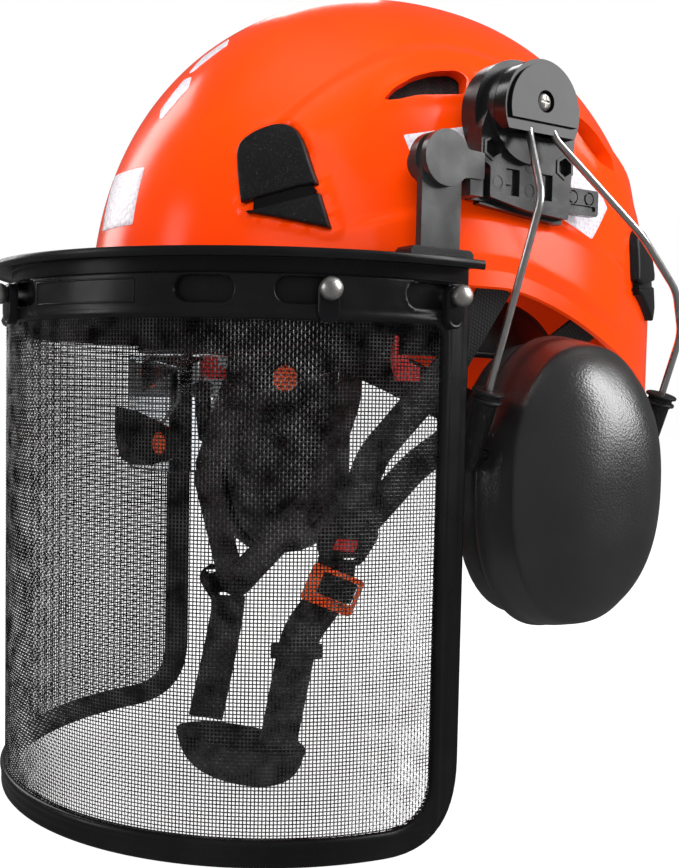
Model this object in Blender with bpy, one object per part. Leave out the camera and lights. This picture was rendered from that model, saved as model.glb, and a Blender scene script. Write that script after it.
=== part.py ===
"""Forestry hard hat with a mesh visor, a clear eye shield, ear muffs and a chin strap.

Everything is worked out in millimetres and written to the meshes in metres.
X runs to the wearer's left, -Y to the front and Z up. The origin is the centre of
the head at brow level, where the head carries the helmet.
"""
import math

import bmesh
import bpy
from mathutils import Matrix, Vector

MM = 0.001
GAP = 0.3                      # between pieces that touch
SIDES = (("left", 1), ("right", -1))

# Shell: a superellipse in plan, closed by a superellipse in height
SHELL_HALF_WIDTH = 111.0
SHELL_FRONT = 144.9
SHELL_BACK = 139.3
SHELL_WIDEST_Z = 7.1
SHELL_RISE = 152.15
PLAN_POWER = 2.17
RISE_POWER = 2.16
SHELL_WALL = 2.8
RIM_FRONT_Z = 15.0
RIM_EAR_Z = 18.0
RIM_NAPE_Z = -38.0
RIM_EAR_ANGLE = math.radians(80)
PEAK_REACH = 25.0
PEAK_HALF_ANGLE = math.radians(52)
SHELL_COLUMNS = 48
SHELL_ROWS = 12

# Visor: a bent screen around an upright axis in front of the head
VISOR_AXIS_Y = -60.8
VISOR_RADIUS = 122.0
VISOR_HALF_ANGLE = math.radians(96.6)
FRAME_INNER, FRAME_OUTER = 120.6, 124.0
FRAME_TOP_Z, FRAME_BOTTOM_Z = 17.0, -203.8
WINDOW_TOP_Z, WINDOW_BOTTOM_Z = 0.0, -193.0
FRAME_END_STRIP = 13.0
FRAME_CORNER, WINDOW_CORNER = 27.0, 16.0
SCREEN_INNER, SCREEN_OUTER = 121.6, 122.4
SKIRT_INNER, SKIRT_OUTER = 117.8, 120.2
SKIRT_BOTTOM_Z = -4.0
FLANGE_OUTER = 128.5
FLANGE_LOW_Z, FLANGE_HIGH_Z = 22.8, 25.6
PIVOT_Y, PIVOT_Z = -59.0, 63.5
FASTENER_Z = 11.0
FASTENER_ANGLES = (-91.4, -68.0, 0.0, 68.0, 91.4)
SLOT_ANGLES = (-87.8, -64.4, -47.0, 3.6, 47.0, 64.4, 87.8)
SLOT_LENGTH, SLOT_HEIGHT = 22.0, 9.4
STUD_SHANK, STUD_BALL = 2.4, 4.3

# Ear muffs: a turning cap on a bracket, a wire fork and a cup
ROTOR_Y, ROTOR_Z = -17.0, 86.0
ROTOR_RADIUS = 19.7
SCREW_RISE = 3.2
ROTOR_BACK_X, ROTOR_FACE_X = 122.0, 130.0
FORK_HINGE_X, FORK_HINGE_Z = 126.0, 82.5
WIRE_RADIUS = 1.5
WIRE_SLOPE = Vector((-0.30, -0.06, -1.0)).normalized()
WIRE_FRONT_END = Vector((125.0, -38.0, -24.0))
WIRE_REAR_END = Vector((129.0, 57.2, -24.0))
CUP_Y, CUP_Z = 8.5, -62.0
CUP_HALF_WIDTH, CUP_HALF_HEIGHT = 41.5, 60.5
CUP_RIM_X, CUP_DOME_X = 112.0, 155.0
CUP_WALL = 2.6
CUSHION_INNER_X = 92.0

# Headband, eye shield and chin strap
BAND_HALF_WIDTH, BAND_HALF_LENGTH = 84.0, 106.0
BAND_CENTER_Y = -17.0
BAND_HEIGHT, BAND_THICK = 26.0, 1.8
LENS_HALF_WIDTH, LENS_HALF_LENGTH = 88.4, 110.4
LENS_THICK = 1.8
LENS_PIVOT_Y, LENS_PIVOT_Z = -50.0, -2.0
DIVIDERS = {"left": Vector((50.0, -58.0, -95.0)), "right": Vector((-50.0, -57.0, -128.0))}
WEBBING_WIDTH, WEBBING_THICK = 18.0, 1.6
CHIN_Y, CHIN_RIM_Z, CHIN_DROP = -78.0, -190.0, 20.0
CHIN_HALF_WIDTH, CHIN_HALF_DEPTH = 36.0, 17.0
CHIN_TURN = math.radians(22)

ORANGE = (1.0, 0.082, 0.002)
BLACK = (0.012, 0.012, 0.013)


# ---------------------------------------------------------------- general helpers
def material(name, color, roughness, metallic=0.0):
    found = bpy.data.materials.get(name)
    if found:
        return found
    made = bpy.data.materials.new(name)
    made.use_nodes = True
    shader = made.node_tree.nodes["Principled BSDF"]
    shader.inputs["Base Color"].default_value = (*color, 1.0)
    shader.inputs["Roughness"].default_value = roughness
    shader.inputs["Metallic"].default_value = metallic
    return made


def place(name, bm, look, pivot=(0, 0, 0), sharp=35.0):
    """Turn a bmesh in millimetres into an object in metres, its origin at pivot."""
    bmesh.ops.translate(bm, vec=-Vector(pivot), verts=bm.verts)
    bmesh.ops.scale(bm, vec=(MM, MM, MM), verts=bm.verts)
    bmesh.ops.recalc_face_normals(bm, faces=bm.faces)
    mesh = bpy.data.meshes.new(name)
    bm.to_mesh(mesh)
    bm.free()
    mesh.shade_smooth()
    mesh.set_sharp_from_angle(angle=math.radians(sharp))
    thing = bpy.data.objects.new(name, mesh)
    thing.location = Vector(pivot) * MM
    bpy.context.collection.objects.link(thing)
    if look:
        mesh.materials.append(look)
    return thing


def tool(name, bm):
    """A helper solid that only cuts or joins."""
    thing = place(name, bm, None)
    thing.hide_render = True
    thing.display_type = "WIRE"
    return thing


def combine(target, bm, operation):
    helper = tool(f"{target.name}_tool_{len(target.modifiers)}", bm)
    step = target.modifiers.new(helper.name, "BOOLEAN")
    step.operation = operation
    step.object = helper
    step.solver = "EXACT"


def cut(target, bm):
    combine(target, bm, "DIFFERENCE")


def fuse(target, bm):
    combine(target, bm, "UNION")


def sideways(side, depth_axis="X"):
    """Map outline points (a, b) and a depth along X or Y to a point mirrored by side."""
    if depth_axis == "X":
        return lambda a, b, depth: Vector((side * depth, a, b))
    return lambda a, b, depth: Vector((side * a, depth, b))


def prism(outline, low, high, mapping, bm=None):
    bm = bm or bmesh.new()
    rings = [[bm.verts.new(mapping(a, b, depth)) for a, b in outline] for depth in (low, high)]
    bm.faces.new(rings[0][::-1])
    bm.faces.new(rings[1])
    count = len(outline)
    for i in range(count):
        j = (i + 1) % count
        bm.faces.new((rings[0][i], rings[0][j], rings[1][j], rings[1][i]))
    return bm


def loft(rings, bm=None):
    """Join closed rings of equal length and cap both ends."""
    bm = bm or bmesh.new()
    rows = [[bm.verts.new(point) for point in ring] for ring in rings]
    count = len(rows[0])
    for low, high in zip(rows, rows[1:]):
        for i in range(count):
            j = (i + 1) % count
            bm.faces.new((low[i], low[j], high[j], high[i]))
    bm.faces.new(rows[0][::-1])
    bm.faces.new(rows[-1])
    return bm


def box(low, high, side=1):
    (x0, y0, z0), (x1, y1, z1) = low, high
    return prism([(y0, z0), (y1, z0), (y1, z1), (y0, z1)], x0, x1, sideways(side))


def circle(center_a, center_b, radius, steps=24):
    turn = 2 * math.pi / steps
    return [(center_a + radius * math.cos(i * turn), center_b + radius * math.sin(i * turn))
            for i in range(steps)]


def obround(center_a, center_b, length, width, steps=6):
    """Outline of a slot with round ends, long along a."""
    reach, radius = (length - width) / 2, width / 2
    outline = []
    for end, start in ((1, -90), (-1, 90)):
        for i in range(steps + 1):
            angle = math.radians(start + 180 * i / steps)
            outline.append((center_a + end * reach + radius * math.cos(angle),
                            center_b + radius * math.sin(angle)))
    return outline


def rod(start, end, radius, steps=12, end_radius=None):
    """A round bar between two points."""
    start, end = Vector(start), Vector(end)
    along = (end - start).normalized()
    across = along.orthogonal().normalized()
    up = along.cross(across)
    rings = []
    for center, size in ((start, radius), (end, end_radius or radius)):
        rings.append([center + size * (math.cos(a) * across + math.sin(a) * up)
                      for a in (2 * math.pi * i / steps for i in range(steps))])
    return loft(rings)


def lathe(profile, origin, axis, steps=24):
    """Turn (distance along axis, radius) pairs about an axis; both ends are capped."""
    origin, axis = Vector(origin), Vector(axis).normalized()
    across = axis.orthogonal().normalized()
    up = axis.cross(across)
    rings = []
    for along, radius in profile:
        rings.append([origin + along * axis + radius * (math.cos(a) * across + math.sin(a) * up)
                      for a in (2 * math.pi * i / steps for i in range(steps))])
    return loft(rings)


def rounded_path(corners, radius, steps=4):
    """Replace each inner corner of a polyline by an arc-like bend."""
    path = [Vector(corners[0])]
    for before, corner, after in zip(corners, corners[1:], corners[2:]):
        before, corner, after = Vector(before), Vector(corner), Vector(after)
        reach = min(radius, (before - corner).length / 2, (after - corner).length / 2)
        start = corner + (before - corner).normalized() * reach
        end = corner + (after - corner).normalized() * reach
        for i in range(steps + 1):
            t = i / steps
            path.append((1 - t) ** 2 * start + 2 * t * (1 - t) * corner + t ** 2 * end)
    path.append(Vector(corners[-1]))
    return path


def strap(corners, width, thick, facing, bend=12.0):
    """Flat webbing along a path; facing is a direction or a function of the point."""
    path = rounded_path(corners, bend)
    rings = []
    for i, point in enumerate(path):
        along = (path[min(i + 1, len(path) - 1)] - path[max(i - 1, 0)]).normalized()
        out = Vector(facing(point) if callable(facing) else facing)
        out = (out - out.dot(along) * along).normalized()
        across = along.cross(out)
        rings.append([point + a * width / 2 * across + b * thick / 2 * out
                      for a, b in ((-1, -1), (1, -1), (1, 1), (-1, 1))])
    return loft(rings)


# ---------------------------------------------------------------- shell
def shell_point(angle, height, grow=0.0):
    """Point of the dome at plan angle `angle` from the front, `height` up."""
    across, along = math.sin(angle), -math.cos(angle)
    length = (SHELL_FRONT if along < 0 else SHELL_BACK) + grow
    width = SHELL_HALF_WIDTH + grow
    reach = (abs(across / width) ** PLAN_POWER + abs(along / length) ** PLAN_POWER) ** (-1 / PLAN_POWER)
    climb = max(height - SHELL_WIDEST_Z, 0.0) / (SHELL_RISE + grow)
    reach *= max(1 - climb ** RISE_POWER, 0.0) ** (1 / RISE_POWER)
    return Vector((reach * across, reach * along, height))


def rim_height(angle):
    """Lower edge of the shell: high over the ears, low at the nape."""
    angle = abs(angle)
    if angle < RIM_EAR_ANGLE:
        share = math.sin(angle / RIM_EAR_ANGLE * math.pi / 2) ** 2
        return RIM_FRONT_Z + (RIM_EAR_Z - RIM_FRONT_Z) * share
    part = (angle - RIM_EAR_ANGLE) / (math.pi - RIM_EAR_ANGLE)
    return RIM_EAR_Z + (RIM_NAPE_Z - RIM_EAR_Z) * math.sin(part * math.pi / 2) ** 1.5


def peak_reach(angle):
    part = min(abs(angle) / PEAK_HALF_ANGLE, 1.0)
    return PEAK_REACH * math.cos(part * math.pi / 2) ** 1.2


def shell_column(angle, grow):
    """Points up one meridian, from the rim to just below the crown."""
    rim = rim_height(angle)
    top = SHELL_WIDEST_Z + SHELL_RISE + grow
    out = peak_reach(angle)
    lip = shell_point(angle, rim, grow)
    flat = lip.xy.normalized() * out
    drop = grow * min(out / 8.0, 1.0) * 0.9
    points = [lip + Vector((flat.x, flat.y, drop - out * 0.14))]
    start = rim + 7.0 + drop
    for i in range(SHELL_ROWS):
        share = math.sin(i / SHELL_ROWS * math.pi / 2)
        points.append(shell_point(angle, start + (top - start) * share, grow))
    return points, Vector((0, 0, top))


def build_shell():
    bm = bmesh.new()
    skins = []
    for grow in (0.0, -SHELL_WALL):
        columns = []
        for i in range(SHELL_COLUMNS):
            angle = 2 * math.pi * i / SHELL_COLUMNS
            angle = angle if angle <= math.pi else angle - 2 * math.pi
            points, crown = shell_column(angle, grow)
            columns.append([bm.verts.new(p) for p in points])
        pole = bm.verts.new(crown)
        for here, after in zip(columns, columns[1:] + columns[:1]):
            for row in range(SHELL_ROWS):
                bm.faces.new((here[row], after[row], after[row + 1], here[row + 1]))
            bm.faces.new((here[-1], after[-1], pole))
        skins.append(columns)
    outer, inner = skins
    for i in range(SHELL_COLUMNS):
        j = (i + 1) % SHELL_COLUMNS
        bm.faces.new((outer[i][0], outer[j][0], inner[j][0], inner[i][0]))
    shell = place("shell", bm, material("orange_plastic", ORANGE, 0.28), sharp=60)
    front_vent = [(-63.5, 90.5), (-50, 93), (-36, 95), (-24, 97.5), (-25.5, 103), (-29, 107.5),
                  (-37, 108), (-47, 104), (-56, 98)]
    rear_vent = [(58, 84), (46, 87), (34, 91), (24, 96), (25, 103), (32, 106), (42, 103), (52, 95)]
    for _, side in SIDES:
        for outline in (front_vent, rear_vent):
            cut(shell, prism(outline, 55, 120, sideways(side)))
    return shell


def tangent_frame(angle, height, lift):
    """Axes of a flat plate laid on the shell: across, up along the surface, outward."""
    step = 0.02
    center = shell_point(angle, height)
    across = (shell_point(angle + step, height) - shell_point(angle - step, height)).normalized()
    up = (shell_point(angle, height + 2) - shell_point(angle, height - 2)).normalized()
    out = across.cross(up).normalized()
    if out.dot(center) < 0:
        out = -out
    return center + out * lift, across, up, out


def build_lamp_clip(name, angle, height, mirror):
    center, across, up, out = tangent_frame(angle, height, GAP + 0.2)
    across = across * mirror

    def mapping(a, b, depth):
        return center + a * across + b * up + depth * out

    base = [(-13, -14), (16, -22.5), (14, -4), (7, 18), (0, 21.5), (-9, 19), (-13, 12)]
    tongue = [(-12.8, -9), (12.5, -2.5), (6.7, 17.4), (0, 21), (-8.7, 18.5), (-12.6, 12)]
    wedge = [(-11, -13.6), (13.7, -5.6), (15.7, -21.8)]
    clip = place(name, prism(base, 0.0, 1.6, mapping), material("black_grain", BLACK, 0.55))
    fuse(clip, prism(tongue, 1.0, 4.6, mapping))
    fuse(clip, prism(wedge, 1.0, 4.2, mapping))
    return clip


def build_lamp_clips():
    for name, side in SIDES:
        build_lamp_clip(f"lamp_clip_front_{name}", side * math.radians(35.9), 57.0, side)
        build_lamp_clip(f"lamp_clip_rear_{name}", side * math.radians(144.7), 30.0, -side)


# ---------------------------------------------------------------- visor
def visor_point(radius, angle, height):
    return Vector((radius * math.sin(angle), VISOR_AXIS_Y - radius * math.cos(angle), height))


def corner_drop(along, edge, radius):
    """How far a rounded corner pulls an edge in at distance `along` from the middle."""
    inside = along - (edge - radius)
    if inside <= 0:
        return 0.0
    return radius - math.sqrt(max(radius ** 2 - inside ** 2, 0.0))


def visor_columns(edge, corner):
    """Distances along the bent sheet: even in the middle, closer round the corners."""
    flat = edge - corner
    count = 28
    even = [-flat + 2 * flat * i / count for i in range(count + 1)]
    bends = [flat + corner * math.sin(math.radians(angle)) for angle in (22.5, 45, 67.5, 90)]
    return sorted(even + bends + [-b for b in bends])


def bend_out(bm, inner, outer):
    """Thicken flat faces laid at (distance along the bend, height) between two radii."""
    made = bmesh.ops.extrude_face_region(bm, geom=bm.faces[:])
    lifted = {v for v in made["geom"] if isinstance(v, bmesh.types.BMVert)}
    for vert in bm.verts:
        radius = outer if vert in lifted else inner
        along, height = vert.co.x, vert.co.z
        vert.co = visor_point(radius, along / VISOR_RADIUS, height)
    return bm


def build_visor_frame():
    edge = VISOR_RADIUS * VISOR_HALF_ANGLE
    hole = edge - FRAME_END_STRIP
    top_corner = 6.0
    bm = bmesh.new()

    def levels(along):
        distance = abs(along)
        low = FRAME_BOTTOM_Z + corner_drop(distance, edge, FRAME_CORNER)
        high = FRAME_TOP_Z - corner_drop(distance, edge, top_corner)
        if distance > hole + 0.01:
            return [low, high]
        window_low = WINDOW_BOTTOM_Z + corner_drop(distance, hole, WINDOW_CORNER)
        window_high = WINDOW_TOP_Z - corner_drop(distance, hole, top_corner)
        return [low, window_low, window_high, high]

    outer_steps = [edge - FRAME_CORNER * (1 - math.sin(math.radians(a))) for a in (40, 62, 90)]
    stations = visor_columns(hole, WINDOW_CORNER) + [s for s in outer_steps if s > hole + 1]
    stations += [-s for s in outer_steps if s > hole + 1]
    columns = [[bm.verts.new((s, 0, z)) for z in levels(s)] for s in sorted(stations)]
    for here, after in zip(columns, columns[1:]):
        if len(here) == 4 and len(after) == 4:
            bm.faces.new((here[0], after[0], after[1], here[1]))
            bm.faces.new((here[2], after[2], after[3], here[3]))
        else:
            bm.faces.new(here + after[::-1])
    frame = place("visor_frame", bend_out(bm, FRAME_INNER, FRAME_OUTER),
                  material("black_satin", BLACK, 0.38), visor_pivot())
    for degrees in SLOT_ANGLES:
        slot = obround(0, FASTENER_Z - 0.2, SLOT_LENGTH, SLOT_HEIGHT, 4)
        cut(frame, radial_prism(slot, degrees, FRAME_INNER - 4.0, FRAME_OUTER + 6.0))
    return frame


def radial_prism(outline, degrees, low, high):
    """A prism that points out of the visor's axis at a plan angle; outline is (along, height)."""
    angle = math.radians(degrees)
    out = Vector((math.sin(angle), -math.cos(angle), 0))
    along = Vector((math.cos(angle), math.sin(angle), 0))
    center = Vector((0, VISOR_AXIS_Y, 0))

    def mapping(a, b, depth):
        return center + depth * out + a * along + Vector((0, 0, b))

    return prism(outline, low, high, mapping)


def visor_pivot():
    return (0, PIVOT_Y, PIVOT_Z)


def build_screen():
    edge = VISOR_RADIUS * VISOR_HALF_ANGLE - FRAME_END_STRIP - GAP - 0.1
    bm = bmesh.new()
    columns = []
    for station in visor_columns(edge, WINDOW_CORNER):
        distance = abs(station)
        low = WINDOW_BOTTOM_Z + GAP + 0.1 + corner_drop(distance, edge, WINDOW_CORNER)
        high = WINDOW_TOP_Z - GAP - 0.1 - corner_drop(distance, edge, 6.0)
        columns.append([bm.verts.new((station, 0, z)) for z in (low, high)])
    for here, after in zip(columns, columns[1:]):
        bm.faces.new((here[0], after[0], after[1], here[1]))
    return place("mesh_screen", bend_out(bm, SCREEN_INNER, SCREEN_OUTER),
                 material("wire_mesh", (0.03, 0.03, 0.03), 0.5, 0.4), visor_pivot())


def build_brow_guard():
    """Angle-section band: a flange that closes on the shell and a skirt behind the screen."""
    section = [(SKIRT_INNER, SKIRT_BOTTOM_Z), (SKIRT_OUTER, SKIRT_BOTTOM_Z), (SKIRT_OUTER, FLANGE_LOW_Z),
               (FLANGE_OUTER, FLANGE_LOW_Z), (FLANGE_OUTER + 0.6, FLANGE_LOW_Z + 1.4),
               (FLANGE_OUTER, FLANGE_HIGH_Z), (SKIRT_INNER, FLANGE_HIGH_Z)]
    reach = math.radians(97.6)
    steps = 40
    rings = []
    for i in range(steps + 1):
        angle = -reach + 2 * reach * i / steps
        rings.append([visor_point(radius, angle, z) for radius, z in section])
    guard = place("brow_guard", loft(rings), material("black_satin", BLACK, 0.38), visor_pivot())
    for degrees in FASTENER_ANGLES:
        cut(guard, radial_prism(circle(0, FASTENER_Z, STUD_SHANK + 0.5, 10), degrees, 112, 125))
    return guard


def build_fasteners():
    """Ball-headed studs, each with a turn button that locks the screen's slot."""
    steel = material("satin_steel", (0.62, 0.61, 0.58), 0.3, 1.0)
    black = material("black_gloss", BLACK, 0.2)
    for number, degrees in enumerate(FASTENER_ANGLES, start=1):
        angle = math.radians(degrees)
        out = Vector((math.sin(angle), -math.cos(angle), 0))
        center = visor_point(0, angle, FASTENER_Z)
        profile = [(116.4, STUD_SHANK + 1.8), (117.4, STUD_SHANK + 1.8), (117.5, STUD_SHANK),
                   (128.4, STUD_SHANK), (128.9, 3.6), (130.4, STUD_BALL), (132.2, 3.7), (133.2, 2.2),
                   (133.5, 0.6)]
        place(f"fastener_stud_{number}", lathe(profile, center, out, 12), steel, center + out * 124)
        outline = [(a, b + FASTENER_Z) for b, a in obround(-4.0, 0, 16.5, 8.4, 4)]
        button = place(f"turn_button_{number}", radial_prism(outline, degrees, 124.5, 128.1), black,
                       center + out * 124)
        cut(button, radial_prism(circle(0, FASTENER_Z, STUD_SHANK + GAP, 10), degrees, 122, 131))


def build_visor_arm(name, side):
    """Side arm: round hub on the pivot, flat bar and a foot riveted to the flange."""
    dark = material("dark_grey_gloss", (0.03, 0.031, 0.032), 0.32)
    half = 9.5
    outline = [(PIVOT_Y + half * math.cos(a), PIVOT_Z + half * math.sin(a))
               for a in (math.radians(d) for d in range(0, 181, 20))]
    outline += [(PIVOT_Y - half, 27.5), (PIVOT_Y + half, 27.5)]
    arm = place(name, prism(outline, 115.6, 118.9, sideways(side)), dark, visor_pivot())
    fuse(arm, prism(circle(PIVOT_Y, PIVOT_Z, 10.7, 24), 111.6, 116.0, sideways(side)))
    fuse(arm, prism(circle(PIVOT_Y, PIVOT_Z, 6.6, 20), 105.0, 112.0, sideways(side)))
    fuse(arm, box((111.5, -75.0, FLANGE_HIGH_Z + GAP), (121.5, -44.5, 29.6), side))
    cut(arm, prism(circle(PIVOT_Y, PIVOT_Z, 4.4, 16), 100, 130, sideways(side)))
    return arm


def build_carrier(name, side):
    """Fixed bar through the bracket that carries the visor's pivot pin and its round cap."""
    dark = material("dark_grey_gloss", (0.03, 0.031, 0.032), 0.32)
    carrier = place(name, prism(circle(PIVOT_Y, PIVOT_Z, 10.7, 28), 119.3, 122.3, sideways(side)), dark)
    tongue = [(-53, 56), (-48, 57.2), (-40.6, 57.2), (-40.6, 67.6), (-48, 67.8), (-53, 70)]
    fuse(carrier, prism(tongue, 119.3, 121.9, sideways(side)))
    fuse(carrier, box((111.0, -46.8, 51.0), (121.0, -40.4, 67.2), side))
    fuse(carrier, box((111.0, -42.0, 50.6), (115.0, 29.0, 61.4), side))
    fuse(carrier, prism(circle(PIVOT_Y, PIVOT_Z, 4.0, 16), 103.0, 120.0, sideways(side)))
    return carrier


# ---------------------------------------------------------------- ear muffs
def build_bracket(name, side):
    """Plate that plugs into the shell's side slot and holds the muff's turning cap."""
    black = material("black_semi_gloss", BLACK, 0.3)
    plate = [(-34.7, 52), (-14, 48.4), (8, 47), (9, 62), (10.5, 80), (6, 86), (-36, 88), (-39.7, 78),
             (-39.7, 66), (-34.7, 64)]
    bracket = place(name, prism(plate, 109.8, 118.6, sideways(side)), black)
    fuse(bracket, prism(circle(ROTOR_Y, ROTOR_Z, 22.6, 32), 105.6, 114.0, sideways(side)))
    boss = circle(ROTOR_Y, ROTOR_Z, ROTOR_RADIUS, 32)
    fuse(bracket, prism(boss, 112.0, ROTOR_BACK_X - GAP, sideways(side)))
    fuse(bracket, box((110.0, -30, 40.0), (114.5, 6, 50.0), side))
    cut(bracket, box((110.6, -48, 50.3), (115.4, 40, 61.8), side))
    for hole_y, hole_z in ((-34.0, 71.0), (5.0, 68.0)):
        cut(bracket, prism(circle(hole_y, hole_z, 3.4, 6), 116.0, 125.0, sideways(side)))
    for slot_y in (-23.0, -5.0):
        cut(bracket, box((116.4, slot_y - 3.6, 53.5), (125, slot_y + 3.6, 64.0), side))
    cut(bracket, prism(circle(ROTOR_Y, ROTOR_Z + SCREW_RISE, 3.4, 12), 100, 125, sideways(side)))
    return bracket


def build_rotor(name, side):
    """Turning cap: a drum with a flat foot and a pocket for the fork's top bar."""
    black = material("black_gloss", BLACK, 0.2)
    drop = 9.0
    flat = ROTOR_Z - drop
    half = math.sqrt(ROTOR_RADIUS ** 2 - drop ** 2)
    first = math.asin(-drop / ROTOR_RADIUS)
    sweep = math.pi - 2 * first
    outline = [(ROTOR_Y + ROTOR_RADIUS * math.cos(first + sweep * i / 30),
                ROTOR_Z + ROTOR_RADIUS * math.sin(first + sweep * i / 30)) for i in range(31)]
    cap = place(name, prism(outline, ROTOR_BACK_X, ROTOR_FACE_X, sideways(side)), black,
                (side * ROTOR_BACK_X, ROTOR_Y, ROTOR_Z))
    soften = cap.modifiers.new("edge", "BEVEL")
    soften.width = 1.4 * MM
    soften.segments = 2
    soften.limit_method = "ANGLE"
    soften.angle_limit = math.radians(50)
    foot_low = (ROTOR_FACE_X - 1.6, ROTOR_Y - half - 5, flat - 5)
    foot_high = (ROTOR_FACE_X + 5, ROTOR_Y + half + 5, flat + 4)
    cut(cap, box(foot_low, foot_high, side))
    cut(cap, box((123.2, -28.5, flat - 5), (129.2, -6.5, 85.2), side))
    screw_z = ROTOR_Z + SCREW_RISE
    cut(cap, prism(circle(ROTOR_Y, screw_z, 2.0, 12), 115, 140, sideways(side)))
    cut(cap, prism(circle(ROTOR_Y, screw_z, 3.9, 16), ROTOR_FACE_X - 2.4, 140, sideways(side)))
    return cap


def build_rotor_screw(name, side):
    steel = material("satin_steel", (0.62, 0.61, 0.58), 0.3, 1.0)
    center_z = ROTOR_Z + SCREW_RISE
    seat = ROTOR_FACE_X - 2.1
    profile = [(108.0, 1.6), (seat, 1.6), (seat + 0.1, 3.4), (seat + 1.5, 3.2), (seat + 2.3, 1.8)]
    screw = place(name, lathe(profile, (0, ROTOR_Y, center_z), (side, 0, 0), 14), steel,
                  (side * ROTOR_BACK_X, ROTOR_Y, ROTOR_Z))
    for length, width in ((3.6, 0.9), (0.9, 3.6)):
        cut(screw, box((seat + 1.5, ROTOR_Y - length / 2, center_z - width / 2),
                       (seat + 4.0, ROTOR_Y + length / 2, center_z + width / 2), side))
    return screw


def fork_route():
    """Corners of the wire, from inside the front sleeve to inside the rear one (left side)."""
    inside = WIRE_SLOPE * 20.0
    return [WIRE_FRONT_END + inside, WIRE_FRONT_END - WIRE_SLOPE * 76.0,
            Vector((127.6, -23.0, 76.0)), Vector((FORK_HINGE_X, -22.5, FORK_HINGE_Z)),
            Vector((FORK_HINGE_X, -10.5, FORK_HINGE_Z)), Vector((127.8, -10.0, 76.5)),
            Vector((146.5, 22.0, 38.8)), Vector((142.0, 48.5, 19.0)),
            WIRE_REAR_END - WIRE_SLOPE * 27.0, WIRE_REAR_END + inside]


def mirrored(point, side):
    return Vector((side * point.x, point.y, point.z))


def build_fork(name, side):
    """Sprung wire fork, bent from one length of round wire."""
    path = rounded_path([mirrored(p, side) for p in fork_route()], 5.0, 3)
    pivot = Vector((side * FORK_HINGE_X, ROTOR_Y, FORK_HINGE_Z))
    curve = bpy.data.curves.new(name, "CURVE")
    curve.dimensions = "3D"
    curve.bevel_depth = WIRE_RADIUS * MM
    curve.bevel_resolution = 1
    curve.use_fill_caps = True
    line = curve.splines.new("POLY")
    line.points.add(len(path) - 1)
    for slot, point in zip(line.points, path):
        slot.co = (*((point - pivot) * MM), 1.0)
    curve.materials.append(material("chrome_wire", (0.7, 0.7, 0.7), 0.15, 1.0))
    fork = bpy.data.objects.new(name, curve)
    fork.location = pivot * MM
    bpy.context.collection.objects.link(fork)
    return fork


def sleeve_pin(side, front):
    """Middle of the pin that joins a sleeve to the cup."""
    top = WIRE_FRONT_END if front else WIRE_REAR_END
    return mirrored(top + WIRE_SLOPE * 27.0, side)


def build_sleeve(name, side, front):
    """Sleeve that slides on one leg of the fork and carries one side of the cup."""
    black = material("black_grain", BLACK, 0.5)
    top = mirrored(WIRE_FRONT_END if front else WIRE_REAR_END, side)
    slope = mirrored(WIRE_SLOPE, side)
    profile = [(0.0, 6.6), (1.6, 6.6), (1.8, 5.2), (3.2, 5.2), (3.4, 6.4), (5.0, 6.4), (5.4, 4.8),
               (33.0, 3.9)]
    pin = sleeve_pin(side, front)
    sleeve = place(name, lathe(profile, top, slope, 14), black, pin)
    inward = 1 if front else -1
    fuse(sleeve, rod(pin, pin + Vector((0, inward * 10.5, 0)), 2.0, 10))
    cut(sleeve, rod(top - slope * 5, top + slope * 31, WIRE_RADIUS + 0.45, 8))
    return sleeve


def cup_ring(reach, x, side, steps=28):
    """Egg-shaped outline of the cup, `reach` of its full size, at depth x."""
    ring = []
    for i in range(steps):
        a = 2 * math.pi * i / steps
        power = 2.3
        size = (abs(math.cos(a)) ** power + abs(math.sin(a)) ** power) ** (-1 / power)
        ring.append(Vector((side * x, CUP_Y + reach[0] * size * math.cos(a),
                            CUP_Z + reach[1] * size * math.sin(a))))
    return ring


def dome_rings(inset, side, rows):
    width, height = CUP_HALF_WIDTH - inset, CUP_HALF_HEIGHT - inset
    depth = CUP_DOME_X - CUP_RIM_X - inset
    rings = []
    for i in range(rows + 1):
        a = math.pi / 2 * i / rows * 0.985
        share = math.cos(a) ** 0.72
        x = CUP_RIM_X + depth * math.sin(a) ** 0.86
        rings.append(cup_ring((width * share, height * share), x, side))
    return rings


def build_cup(name, side):
    """Hollow dome, open towards the head."""
    black = material("black_leather_grain", (0.016, 0.016, 0.017), 0.4)
    pivot = (sleeve_pin(side, True) + sleeve_pin(side, False)) / 2
    rings = dome_rings(CUP_WALL, side, 7)[::-1] + dome_rings(0.0, side, 8)
    cup = place(name, loft(rings), black, pivot, sharp=50)
    for front in (True, False):
        pin = sleeve_pin(side, front)
        inward = 1 if front else -1
        cut(cup, rod(pin + Vector((0, -inward * 2, 0)), pin + Vector((0, inward * 17, 0)), 2.5, 10))
    return cup


def ring_solid(outer, inner, side):
    """Close a ring-shaped cushion from lists of (reach, x): down the outside, up the inside."""
    bm = bmesh.new()
    rows = [[bm.verts.new(p) for p in cup_ring(reach, x, side)] for reach, x in outer + inner]
    count = len(rows[0])
    for here, after in zip(rows, rows[1:] + rows[:1]):
        for i in range(count):
            j = (i + 1) % count
            bm.faces.new((here[i], here[j], after[j], after[i]))
    return bm


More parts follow.
